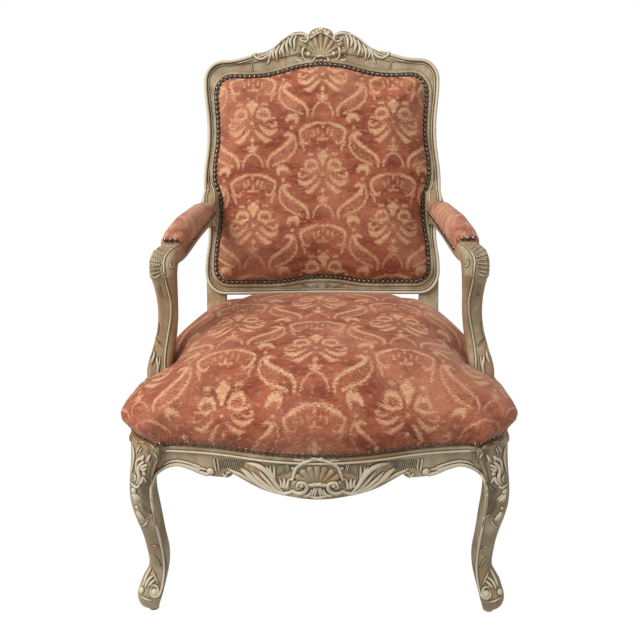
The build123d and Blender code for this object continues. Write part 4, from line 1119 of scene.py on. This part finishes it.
def relief(lines, scores=(), stand=0.4):
    """Mesh of strokes: tapered tubes for lines, flattened balls for single points, and scored lines.
    stand says how far a tube's middle stands off the wood, as a share of its half width."""
    curve = bpy.data.curves.new("strokes", "CURVE")
    curve.dimensions = "3D"
    curve.bevel_depth = 1.0
    curve.bevel_resolution = 1
    curve.use_fill_caps = True
    balls = bmesh.new()
    # Scored lines are only thin dark borders on the wood: painted shade of a groove, with glaze.
    for line in scores:
        glaze_shade_border(balls, line, SCORE_REACH)
    for line in lines:
        glaze_shade_border(balls, line)
        if len(line) == 1:
            spot, normal, half = line[0]
            upright = normal.to_track_quat("Z", "Y").to_matrix().to_4x4()
            place = Matrix.Translation(spot) @ upright @ Matrix.Diagonal((1.0, 1.0, 0.75, 1.0))
            bmesh.ops.create_icosphere(balls, subdivisions=2, radius=half, matrix=place)
            continue
        spline = curve.splines.new("NURBS")
        spline.points.add(len(line) - 1)
        for point, (spot, normal, half) in zip(spline.points, line):
            lifted = spot + normal * half * stand
            point.co = (*lifted, 1.0)
            point.radius = half
        spline.order_u = min(3, len(line))
        spline.use_endpoint_u = True
        spline.resolution_u = 4
    holder = bpy.data.objects.new("strokes", curve)
    tubes = bpy.data.meshes.new_from_object(holder)
    balls.from_mesh(tubes)
    bpy.data.objects.remove(holder)
    bpy.data.curves.remove(curve)
    bpy.data.meshes.remove(tubes)
    return balls


LIFT_FULL = 2.4 * MM


def carving(name, form):
    """Makes carved relief a piece of the chair, with the lift of each vertex above the wood."""
    made = as_object(name, form, carved_wood)
    shade_smooth(made)
    lifts = []
    for vertex in made.data.vertices:
        spot, normal, _, _ = wood.find_nearest(vertex.co)
        lifts.append((vertex.co - spot).dot(normal) / LIFT_FULL)
    note(made, "lift", np.clip(lifts, 0.0, 1.2))
    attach(made, "root")
    print(name, len(made.data.polygons), "faces")


def with_mirror(form):
    """Adds the mirror image about the chair's middle plane."""
    copied = bmesh.ops.duplicate(form, geom=form.verts[:] + form.edges[:] + form.faces[:])["geom"]
    corners = [g for g in copied if isinstance(g, bmesh.types.BMVert)]
    bmesh.ops.scale(form, vec=(-1.0, 1.0, 1.0), verts=corners)
    bmesh.ops.reverse_faces(form, faces=[g for g in copied if isinstance(g, bmesh.types.BMFace)])
    return form


print("wood to carve:", len(wood_names), "solids")

# %% [markdown]
# The crest: a fluted shell with a scalloped rim in the middle, a C-scroll beside it, and a long
# acanthus leaf whose lobes hang from its spine and end in a curl.

# %% Crest carving
CREST_SHEET = (200.0, 20.0, 12.06, 1.70)
crest_strokes = [
    [(1340, 192, 5.0)],
    [(1372, 158, 4.4)],
    [(1412, 138, 5.0)],
    [(1470, 124, 5.6)],
    [(1325, 225, 2.5), (1355, 205, 2.8), (1385, 180, 2.8), (1425, 160, 2.8), (1470, 150, 2.8)],
    [
        (1100, 200, 1.8), (1150, 172, 2.8), (1220, 165, 3.6), (1285, 185, 3.8), (1312, 232, 3.6),
        (1275, 272, 3.2), (1225, 262, 2.6), (1205, 232, 2.2), (1228, 212, 1.8), (1256, 226, 1.6),
    ],
    [(1165, 190, 2.0), (1135, 235, 3.4), (1140, 300, 3.6), (1142, 372, 1.0)],
    [(1120, 195, 2.0), (1085, 245, 3.6), (1092, 310, 3.6), (1112, 335, 1.2)],
    [(1075, 215, 2.0), (1040, 280, 4.0), (1048, 350, 4.0), (1074, 412, 1.2)],
    [(1022, 255, 2.0), (988, 325, 4.0), (1000, 395, 4.0), (1030, 468, 1.2)],
    [(962, 308, 2.0), (925, 365, 4.0), (918, 425, 4.0), (934, 500, 1.2)],
    [(905, 345, 2.0), (872, 405, 3.2), (888, 455, 2.8), (905, 490, 1.0)],
    [(880, 360, 2.0), (846, 412, 4.0), (836, 475, 3.6), (806, 546, 1.2)],
    [(1000, 300, 1.4), (962, 360, 2.6), (962, 420, 2.6), (985, 465, 0.8)],
    [(832, 412, 2.0), (792, 455, 3.4), (740, 478, 3.2), (690, 466, 3.0), (652, 436, 2.8)],
    [(655, 420, 5.0)],
    [
        (690, 452, 1.6), (780, 428, 2.2), (866, 366, 2.4), (960, 275, 2.4), (1060, 196, 2.4),
        (1130, 168, 2.2),
    ],
    [
        (1292, 288, 2.2), (1245, 335, 3.0), (1232, 400, 3.0), (1250, 462, 2.6), (1292, 494, 2.4),
        (1332, 490, 2.0),
    ],
    [(1205, 322, 1.4), (1186, 390, 2.6), (1178, 446, 1.2)],
    [(1226, 345, 1.2), (1212, 395, 2.2), (1216, 436, 1.0)],
    [(1270, 330, 2.6)],
    [(1160, 488, 2.6), (1205, 496, 2.8), (1240, 484, 1.6)],
    [(1365, 498, 2.4), (1384, 456, 2.6), (1428, 436, 2.8), (1470, 430, 2.8)],
    [(1412, 492, 2.8)],
    [(1470, 486, 2.6)],
    [(612, 482, 0.9), (628, 560, 0.9), (640, 632, 0.9)],
]
carving("crest_carving", with_mirror(relief(laid(crest_strokes, CREST_SHEET))))

# %% [markdown]
# The lower rail of the back has a small shell in its middle, with a spray of leaf on each side.

# %% Lower rail carving
LOWER_RAIL_SHEET = (190.0, 20.0, 5.6, 1.58)
lower_rail_strokes = [
    [(727, 1507, 0.6), (727, 1488, 1.0), (727, 1472, 0.9)],
    [(722, 1507, 0.5), (715, 1490, 0.9), (710, 1474, 0.8)],
    [(718, 1508, 0.5), (704, 1494, 0.9), (696, 1481, 0.8)],
    [(714, 1511, 0.5), (694, 1508, 0.9), (684, 1496, 0.9), (692, 1488, 0.6)],
    [(682, 1500, 0.9), (656, 1490, 1.2), (622, 1483, 0.5)],
    [(680, 1508, 0.9), (652, 1503, 1.2), (610, 1502, 0.5)],
]
carving("lower_rail_carving", with_mirror(relief(laid(lower_rail_strokes, LOWER_RAIL_SHEET))))

# %% [markdown]
# The front rail: a shell in the middle between two scrolls, a spray of leaves on each side, a ground of
# fine hatching, and a plain cartouche that ends in a roll. A bead runs along the rail's lower edge.

# %% Apron carving
APRON_SHEET = (180.0, 440.0, 10.453, 1.26)
apron_strokes = [
    [(322, 326, 6.5)],
    [(-40, 246, 2.6), (60, 270, 2.8), (150, 304, 3.0), (240, 342, 3.2), (300, 356, 3.0)],
    [(-40, 208, 1.8), (60, 224, 2.0), (150, 258, 2.2), (235, 300, 2.2), (280, 306, 1.6)],
    [(356, 190, 1.7), (366, 250, 1.7), (378, 314, 1.7)],
    [(396, 192, 1.5), (402, 250, 1.5), (408, 314, 1.5)],
    [
        (452, 346, 1.8), (472, 384, 2.4), (522, 386, 2.6), (548, 354, 2.6), (522, 330, 2.4),
        (492, 338, 2.0), (494, 362, 1.6),
    ],
    [(498, 294, 1.2), (560, 326, 2.6), (632, 352, 3.0), (702, 398, 2.4), (770, 440, 1.4)],
    [
        (702, 238, 1.6), (786, 246, 3.8), (868, 284, 4.4), (932, 344, 4.0), (990, 432, 3.6),
        (1042, 502, 3.0), (1084, 546, 1.8),
    ],
    [
        (640, 292, 1.6), (682, 324, 3.0), (726, 372, 3.6), (784, 422, 3.6), (852, 470, 3.4),
        (932, 520, 3.0), (1012, 546, 1.8),
    ],
    [(752, 328, 1.4), (802, 380, 3.0), (862, 432, 3.2), (932, 490, 3.0), (1002, 536, 1.6)],
    [(832, 322, 1.4), (872, 370, 2.8), (922, 424, 3.0), (972, 482, 2.8), (1030, 530, 1.4)],
    [(672, 300, 1.2), (724, 340, 2.2), (772, 390, 2.2), (830, 440, 1.4)],
    [(1002, 442, 2.4), (972, 372, 3.0), (932, 312, 2.6), (900, 266, 0.9)],
    [(990, 392, 2.2), (986, 312, 2.6), (990, 250, 0.9)],
    [(956, 336, 1.6), (942, 286, 2.0), (946, 252, 0.8)],
    [(1062, 486, 2.4), (1062, 432, 2.6), (1040, 398, 0.9)],
    [(1088, 494, 2.8), (1096, 432, 3.0), (1090, 388, 0.9)],
    [(1122, 494, 2.8), (1130, 442, 3.0), (1142, 398, 1.0)],
    [(930, 546, 2.4), (1040, 562, 3.0), (1150, 546, 3.0), (1202, 520, 1.8)],
    [
        (1158, 516, 2.0), (1200, 546, 3.0), (1262, 556, 3.6), (1322, 522, 3.6), (1328, 470, 3.4),
        (1290, 438, 3.0), (1240, 446, 2.6), (1216, 476, 2.4), (1236, 510, 2.0), (1270, 506, 1.6),
    ],
    [(1268, 476, 4.0)],
    [
        (1182, 424, 2.2), (1196, 334, 3.0), (1222, 272, 3.2), (1290, 232, 3.2), (1342, 214, 2.6),
        (1400, 204, 2.4), (1481, 202, 2.4),
    ],
    [(1166, 408, 3.4)],
    [(1180, 292, 3.4)],
    [(1242, 250, 3.2)],
    [(1316, 222, 3.2)],
    [(1400, 206, 3.4)],
    [(1481, 200, 3.6)],
    [(1338, 464, 2.6), (1410, 466, 3.0), (1481, 456, 3.0)],
    [(1412, 498, 2.4), (1394, 540, 2.8), (1380, 584, 1.2)],
    [(1452, 500, 2.2), (1462, 545, 2.8), (1470, 590, 1.2)],
    [(1292, 580, 2.0), (1342, 578, 2.8), (1372, 542, 2.6), (1376, 508, 1.6)],
    [(1330, 580, 1.6), (1400, 596, 2.2), (1481, 602, 2.2)],
    [(1182, 200, 1.4), (1225, 212, 2.4), (1300, 208, 1.4)],
]
HATCH_PITCH = 21.0
for k in range(12):
    foot = 396.0 + HATCH_PITCH * k
    apron_strokes.append([(foot + 40, 196 + 2.0 * k, 0.75), (foot + 16, 290 + 1.5 * k, 0.75)])
for k in range(7):
    apron_strokes.append([(1022 + 16 * k, 258 - 3 * k, 0.75), (1052 + 16 * k, 372 - 6 * k, 0.75)])
    apron_strokes.append([(1014, 300 + 12 * k, 0.7), (1040 + 12 * k, 262, 0.7)])
carving("apron_carving", with_mirror(relief(laid(apron_strokes, APRON_SHEET, 1.12))))

# %% [markdown]
# The front legs: acanthus on the knee, a string of husks below it, and a leaf with two small scrolls
# on the foot. A bead follows the inner edge from the apron's arch down to the foot.

# %% Leg carving
KNEE_SHEET = (110.0, 440.0, 15.68, 1.30)
knee_strokes = [
    [(482, 88, 1.0), (452, 140, 2.4), (430, 196, 1.4)],
    [(508, 118, 1.0), (486, 168, 2.4), (468, 204, 1.2)],
    [(542, 238, 1.4), (500, 290, 2.8), (446, 312, 2.8), (426, 372, 2.8), (420, 474, 1.6)],
    [
        (542, 338, 1.6), (492, 370, 3.0), (460, 432, 3.0), (452, 502, 3.0), (472, 562, 3.0),
        (456, 640, 2.6), (408, 692, 1.2),
    ],
    [(642, 228, 1.2), (602, 288, 3.4), (600, 336, 1.6)],
    [(540, 248, 1.4), (520, 302, 3.0), (504, 326, 1.2)],
    [(592, 388, 1.6), (532, 402, 2.6), (502, 452, 2.6), (542, 484, 2.4), (578, 432, 1.4)],
    [(538, 522, 3.6)],
    [(520, 568, 1.8), (514, 622, 2.8), (482, 672, 2.6), (438, 712, 1.2)],
    [(530, 570, 1.6), (558, 638, 2.4), (584, 668, 0.8)],
    [(380, 530, 1.2), (412, 562, 2.2), (416, 612, 2.2), (384, 652, 1.2)],
    [(346, 672, 1.6), (392, 722, 2.6), (432, 742, 2.4), (472, 712, 1.2)],
    [(380, 790, 5.0)],
    [(374, 840, 2.6), (420, 900, 5.2), (474, 942, 1.4)],
    [(380, 850, 2.0), (396, 920, 3.6), (430, 962, 1.2)],
    [(404, 838, 1.6), (456, 884, 2.8), (508, 932, 0.8)],
    [(426, 1048, 3.4)],
    [(440, 1108, 2.2), (490, 1180, 4.6), (544, 1238, 1.2)],
    [(430, 1120, 1.6), (462, 1192, 3.2), (520, 1252, 1.2)],
    [(594, 1238, 1.2), (582, 1292, 1.9), (540, 1332, 1.9), (500, 1352, 1.2)],
    [(612, 1150, 1.0), (648, 1160, 1.5), (656, 1195, 1.4), (632, 1212, 1.0)],
    [(366, 90, 1.4), (386, 180, 2.2), (392, 280, 2.2), (372, 400, 2.2), (352, 500, 1.4)],
    [(690, 196, 1.2), (722, 240, 2.2), (738, 280, 1.0)],
    [(640, 96, 1.2), (692, 132, 2.4), (730, 190, 1.2)],
    [(430, 40, 1.4), (470, 30, 2.2), (540, 60, 1.2)],
    [
        (1411, 472, 2.8), (1200, 392, 2.8), (1040, 372, 2.8), (920, 396, 2.8), (830, 442, 2.6),
        (722, 524, 2.6), (662, 622, 2.6), (642, 760, 2.4), (648, 902, 2.4), (668, 1042, 2.4),
        (702, 1202, 2.2), (742, 1382, 2.2), (790, 1568, 2.2),
    ],
    [(1411, 412, 1.8), (1200, 342, 1.8), (1040, 322, 1.8), (920, 332, 1.8), (850, 378, 1.4)],
    [(772, 216, 0.9), (770, 290, 0.9), (776, 350, 0.9)],
    [(838, 206, 1.2), (830, 260, 1.2), (836, 310, 1.2)],
]
FOOT_SHEET = (120.0, 530.0, 19.12, 1.42)
foot_strokes = [
    [
        (722, 0, 2.2), (772, 202, 2.2), (815, 402, 2.2), (840, 562, 2.2), (850, 702, 2.2),
        (842, 852, 2.2), (822, 1002, 2.2), (800, 1130, 2.2), (764, 1232, 2.2), (702, 1288, 2.0),
        (634, 1286, 1.6),
    ],
    [
        (604, 1062, 1.4), (676, 1046, 2.0), (732, 1104, 2.2), (744, 1190, 2.2), (712, 1256, 2.2),
        (650, 1276, 2.0), (592, 1246, 2.0), (572, 1180, 1.8), (602, 1124, 1.4),
    ],
    [(664, 1188, 6.4)],
    [(420, 1150, 6.0)],
    [(612, 702, 1.2), (572, 782, 2.6), (530, 872, 3.0), (490, 962, 3.0), (462, 1054, 1.6)],
    [(652, 860, 1.2), (602, 902, 2.6), (550, 962, 2.8), (510, 1042, 2.6), (490, 1112, 1.2)],
    [(690, 932, 1.0), (640, 972, 2.6), (582, 1032, 2.6), (540, 1092, 1.2)],
    [(622, 740, 1.0), (642, 802, 1.6), (672, 882, 1.6), (702, 952, 1.6), (744, 1040, 1.0)],
    [(402, 1262, 1.4), (462, 1292, 2.2), (542, 1332, 2.2), (622, 1342, 1.2)],
    [(592, 304, 0.9), (640, 280, 1.6), (692, 290, 1.6), (734, 334, 0.9)],
    [(640, 470, 0.9), (690, 520, 1.3), (740, 600, 1.3), (780, 690, 0.8)],
]
GROUND_LEVELS = [120, 330, 470, 560, 660, 760, 900, 1040, 1160]
GROUND_RIGHT = [745, 755, 725, 680, 645, 628, 632, 652, 682]
GROUND_LEFT = [560, 650, 610, 600, 560, 450, 530, 470, 560]
# The knee's hatching is scored lines: dark borders of painted shade with glaze, with no groove cut.
knee_scores = []
for y in np.arange(130.0, 1170.0, 24.0):
    right, left = np.interp(y, GROUND_LEVELS, GROUND_RIGHT), np.interp(y, GROUND_LEVELS, GROUND_LEFT)
    for tilt in (0.3 * (right - left), -0.3 * (right - left)):
        knee_scores.append([(left, y + tilt, 0.0), ((left + right) / 2, y, 0.0), (right, y - tilt, 0.0)])
leg_lines = laid(knee_strokes, KNEE_SHEET, 1.2) + laid(foot_strokes, FOOT_SHEET, 1.1)
leg_form = relief(leg_lines, laid(knee_scores, KNEE_SHEET))
carving("leg_carving_right", mirrored(leg_form))
carving("leg_carving_left", leg_form)

# %% [markdown]
# The arms end in a rolled knuckle covered with small scales, held by a collar. A bead follows the
# support's inner edge, and a small leaf is cut at its foot.

# %% Arm carving
KNUCKLE_SHEET = (140.0, 225.0, 19.6, 1.43)
knuckle_strokes = [
    [
        (764, 386, 1.4), (640, 470, 1.9), (540, 560, 2.0), (482, 650, 2.0), (462, 740, 2.0),
        (466, 830, 2.0), (482, 950, 1.9), (502, 1100, 1.9), (542, 1250, 1.9), (582, 1400, 1.9),
        (612, 1568, 1.9),
    ],
    [(602, 690, 1.0), (580, 760, 1.8), (602, 832, 1.8), (646, 850, 1.6), (664, 786, 1.0)],
    [(205, 1018, 1.4), (280, 1036, 2.0), (342, 1014, 2.0), (404, 966, 1.4)],
    [(378, 1190, 0.9), (400, 1300, 1.4), (420, 1420, 0.9)],
]
SCALE_SPINE = [
    (640, 352), (560, 392), (480, 436), (410, 490), (350, 556), (310, 632), (288, 712), (278, 792),
    (282, 872), (292, 948),
]
SCALE_ACROSS = [
    (30, 52), (40, 50), (46, 46), (54, 40), (62, 30), (68, 18), (70, 6), (68, -6), (62, -12),
    (50, -14),
]
for row, ((x, y), (dx, dy)) in enumerate(zip(SCALE_SPINE, SCALE_ACROSS)):
    for k in range(-2, 3):
        step = (k + 0.5 * (row % 2)) * 0.62
        knuckle_strokes.append([(x + dx * step, y + dy * step, 2.3)])
SUPPORT_SHEET = (140.0, 300.0, 17.42, 1.43)
support_strokes = [
    [
        (532, -20, 1.9), (540, 150, 1.9), (536, 300, 1.9), (514, 450, 1.9), (490, 600, 1.9),
        (466, 750, 1.9), (446, 900, 1.9), (430, 1050, 1.9), (436, 1200, 1.9), (462, 1350, 1.9),
    ],
    [(216, 790, 1.2), (216, 900, 2.6), (192, 1012, 1.0)],
    [(252, 880, 1.2), (256, 960, 2.6), (222, 1052, 2.6), (202, 1132, 1.0)],
    [(302, 980, 1.2), (292, 1052, 2.8), (322, 1132, 2.8), (312, 1252, 2.8), (292, 1380, 1.6)],
    [(352, 980, 1.2), (346, 1082, 2.4), (336, 1180, 1.2)],
    [(250, 652, 0.8), (322, 722, 0.9), (402, 822, 0.8)],
    [(330, 400, 1.0), (290, 520, 1.5), (258, 630, 1.0)],
]
arm_form = relief(laid(knuckle_strokes, KNUCKLE_SHEET) + laid(support_strokes, SUPPORT_SHEET))
carving("arm_carving_right", mirrored(arm_form))
carving("arm_carving_left", arm_form)

# %% [markdown]
# Mouldings run round the back frame: a rounded rim, a fine bead inside it, and another bead that
# frames the nails. They follow the frame's own outline, and each point is dropped on to the wood.

# %% Back mouldings


def dropped(line, half, out=60.0):
    """Points of an outline of the back, dropped on to the wood from the front."""
    result = []
    for x, up in line:
        spot, _, _, _ = wood.ray_cast(on_back(x, up, out), -BACK_OUT)
        if spot is not None:
            result.append((spot, BACK_OUT, half * MM))
    return result


RIM_LINE = [*FRAME_LINE, (158, 578, 160)]
back_mouldings = [
    dropped(even(flow(shifted(RIM_LINE, 3.9)), 6.0), 3.5),
    dropped(even(flow(shifted(RIM_LINE, 10.2)), 6.0), 1.7),
    dropped(even(flow(shifted(NAIL_LINE, -10.0)), 6.0), 1.9),
]
carving("back_moulding", with_mirror(relief(back_mouldings)))

# %% [markdown]
# A fine bead runs below the nails of the seat, along the front rail and both side rails. Its points are
# cast level from outside, so it stays at one height.

# %% Rail beads
CAST_START, CAST_END = 0.06, 0.1


def round_rail(line, z, half):
    """Points of the seat's outline, cast level from outside on to the rails at one height."""
    result = []
    runs = np.gradient(line, axis=0)
    for (x, y), (tx, ty) in zip(line, runs):
        outward = Vector((ty, -tx, 0.0)).normalized()
        spot, _, _, distance = wood.ray_cast(on_plan(x, y, z) + outward * CAST_START, -outward)
        if spot is not None and distance < CAST_END:
            result.append((spot, outward, half * MM))
    return result


seat_line = even(flow(seat_edge(0.0)), 7.0)
front_run = seat_line[seat_line[:, 0] < 262.0]
front_run = front_run[front_run[:, 1] < -500.0]
side_run = seat_line[(seat_line[:, 0] > 272.0) & (seat_line[:, 1] > -448.0) & (seat_line[:, 1] < -14.0)]
BEAD_Z, LOW_BEAD_Z, BEAD_HALF = 365.4, 343.0, 2.2
bead_runs = ((front_run, BEAD_Z), (side_run, BEAD_Z), (side_run, LOW_BEAD_Z))
rail_beads = [round_rail(run, z, BEAD_HALF) for run, z in bead_runs]
carving("rail_moulding", with_mirror(relief(rail_beads)))

# %% [markdown]
# The outside of the back is closed by a plain piece of velvet, stretched flat over the frame and held
# by its own row of nails. It is a sheet, slightly hollow in its middle. The sacking under the stuffing
# is a sheet as well. Both are made from rings of their outline that shrink towards the middle.

# %% Outside back and sacking
DISC_RINGS, DISC_INNER = 16, 0.06
VELVET_THICK, SACK_THICK = 1.6 * MM, 0.8 * MM
OUTSIDE_OUT, OUTSIDE_HOLLOW = -34.0, 2.5
BACK_SACK_OUT, SEAT_SACK_Z = -0.6, 414.4


def outline_area(line):
    """Area inside a closed outline."""
    x, y = line[:, 0], line[:, 1]
    return abs(float(x @ np.roll(y, -1) - y @ np.roll(x, -1))) / 2.0


def thickened(made, thick):
    coat = made.modifiers.new("thickness", "SOLIDIFY")
    coat.thickness = thick
    coat.offset = 0.0
    settle(made)
    shade_smooth(made)


def sheet_piece(made, replaced, area):
    """Attaches a sheet of cloth to the root and hides the soft solid that it stands for."""
    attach(made, "root")
    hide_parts(replaced)
    print(made.name, len(made.data.polygons), "faces,", round(area, 3), "square metres")


def flat_sheet(made, replaced, line):
    """Does the same for a sheet that is cut flat to an outline in millimetres, and prints its area."""
    sheet_piece(made, replaced, outline_area(line) * MM**2)


def disc(name, line, middle, lift, finish):
    """A sheet inside an outline. lift turns (x, y, share of the way out) into a point."""
    form = bmesh.new()
    rings = []
    for share in np.linspace(1.0, DISC_INNER, DISC_RINGS):
        spots = middle + (line - middle) * share
        rings.append([form.verts.new(lift(x, y, share)) for x, y in spots])
    for outer, inner in zip(rings, rings[1:]):
        for k in range(len(outer)):
            after = (k + 1) % len(outer)
            form.faces.new((outer[k], outer[after], inner[after], inner[k]))
    form.faces.new(rings[-1])
    return as_object(name, form, finish)


BACK_MIDDLE = np.array((0.0, BACK_CENTRE))
SEAT_CENTRE = np.array((0.0, SEAT_MIDDLE))
BACK_WOOD = ["back_post_left", "back_post_right", "crest_rail", "lower_back_rail"]
SEAT_WOOD = ["front_seat_rail", "side_seat_rail_left", "side_seat_rail_right", "back_seat_rail"]

outside_line = both_halves(even(flow(shifted(NAIL_LINE, -4.6)), 9.0))
outside = disc(
    "outside_back_velvet",
    outside_line,
    BACK_MIDDLE,
    lambda x, up, share: on_back(x, up, OUTSIDE_OUT + OUTSIDE_HOLLOW * (1.0 - share**2)),
    plain_velvet,
)
thickened(outside, VELVET_THICK)
outside_spots = places(outside) / MM
outside_up = (outside_spots - np.array(BACK_ORIGIN)) @ np.array(BACK_UP)
weave(outside, np.column_stack((outside_spots[:, 0], outside_up)), BACK_FLOWER)
flat_sheet(outside, "outside_back_cover", outside_line)

back_sack_line = both_halves(even(flow(shifted(NAIL_LINE, 11.0)), 9.0))
back_sack = disc(
    "back_sacking",
    back_sack_line,
    BACK_MIDDLE,
    lambda x, up, share: on_back(x, up, BACK_SACK_OUT),
    sacking,
)
thickened(back_sack, SACK_THICK)
flat_sheet(back_sack, "back_hessian", back_sack_line)

SUPPORT_CLEAR = (284.0, -328.0, -272.0)


def clear_of_supports(line):
    """The same points, kept inside the two arm supports."""
    clear_x, low_y, high_y = SUPPORT_CLEAR
    beside = (line[:, 1] > low_y) & (line[:, 1] < high_y)
    inside = np.clip(line[:, 0], -clear_x, clear_x)
    return np.column_stack((np.where(beside, inside, line[:, 0]), line[:, 1]))


seat_sack_line = clear_of_supports(both_halves(even(flow(shifted(seat_edge(1.0), 13.0)), 9.0)))
seat_sack = disc(
    "seat_sacking",
    seat_sack_line,
    SEAT_CENTRE,
    lambda x, y, share: on_plan(x, y, SEAT_SACK_Z),
    sacking,
)
thickened(seat_sack, SACK_THICK)
flat_sheet(seat_sack, "seat_hessian", seat_sack_line)

# %% [markdown]
# The webbing is woven: each strip passes over and under the strips that cross it, in a slow wave.
# The strips end on the rails, a little inside the seat's outline.

# %% Webbing
WEB_WIDTH, LONG_PITCH, CROSS_PITCH, BACK_PITCH = 52.0, 74.0, 92.0, 94.0
WEB_WAVE, WEB_Z, WEB_THICK = 0.95, 412.0, 1.2 * MM
WEB_REAR_Y, BACK_WEB_OUT = 12.0, -2.2
web_half = even(flow(shifted(seat_edge(1.0), 17.0)), 4.0)
web_front = web_half[web_half[:, 1] < -470.0]
web_side = web_half[(web_half[:, 1] > -455.0) & (web_half[:, 1] < -14.0)]


def strip(form, rows):
    """A band of faces through rows of points."""
    made = [[form.verts.new(p) for p in row] for row in rows]
    for lower, upper in zip(made, made[1:]):
        for k in range(len(lower) - 1):
            form.faces.new((lower[k], lower[k + 1], upper[k + 1], upper[k]))


def woven(name, strips, replaced, rests_on):
    """One piece from several strips of points, each a list of rows."""
    form = bmesh.new()
    for rows in strips:
        strip(form, rows)
    bmesh.ops.recalc_face_normals(form, faces=form.faces[:])
    area = sum(face.calc_area() for face in form.faces)
    made = as_object(name, form, jute_web)
    thickened(made, WEB_THICK)
    sheet_piece(made, replaced, area)


def long_strip(i):
    rows = []
    for t in np.linspace(0.0, 1.0, 61):
        row = []
        for x in (i - 2.5) * LONG_PITCH + np.linspace(-WEB_WIDTH / 2, WEB_WIDTH / 2, 5):
            front = np.interp(abs(x), web_front[:, 0], web_front[:, 1])
            y = front + (WEB_REAR_Y - front) * t
            wave = math.cos(math.pi * ((y - SEAT_MIDDLE) / CROSS_PITCH + i))
            row.append(on_plan(x, y, WEB_Z + WEB_WAVE * wave))
        rows.append(row)
    return rows


def cross_strip(j):
    rows = []
    for t in np.linspace(-1.0, 1.0, 61):
        row = []
        for y in SEAT_MIDDLE + (j - 2) * CROSS_PITCH + np.linspace(-WEB_WIDTH / 2, WEB_WIDTH / 2, 5):
            reach = np.interp(y, web_side[:, 1], web_side[:, 0])
            if SUPPORT_CLEAR[1] < y < SUPPORT_CLEAR[2]:
                reach = min(reach, SUPPORT_CLEAR[0])
            wave = math.cos(math.pi * (reach * t / LONG_PITCH + 2.5 + j))
            row.append(on_plan(reach * t, y, WEB_Z - WEB_WAVE * wave))
        rows.append(row)
    return rows


def back_strip(j):
    rows = []
    edge = even(flow(shifted(NAIL_LINE, 9.0)), 4.0)
    edge = edge[(edge[:, 0] > 180.0) & (edge[:, 1] > 75.0) & (edge[:, 1] < 520.0)]
    for t in np.linspace(-1.0, 1.0, 31):
        ups = BACK_MIDDLE[1] + (j - 2) * BACK_PITCH + np.linspace(-WEB_WIDTH / 2, WEB_WIDTH / 2, 5)
        rows.append([on_back(np.interp(up, edge[:, 1], edge[:, 0]) * t, up, BACK_WEB_OUT) for up in ups])
    return rows


woven("webbing_lengthwise", [long_strip(i) for i in range(6)], "seat_webbing_lengthwise", SEAT_WOOD)
woven("webbing_crosswise", [cross_strip(j) for j in range(5)], "seat_webbing_crosswise", SEAT_WOOD)
woven("webbing_of_back", [back_strip(j) for j in range(5)], "back_webbing", BACK_WOOD)
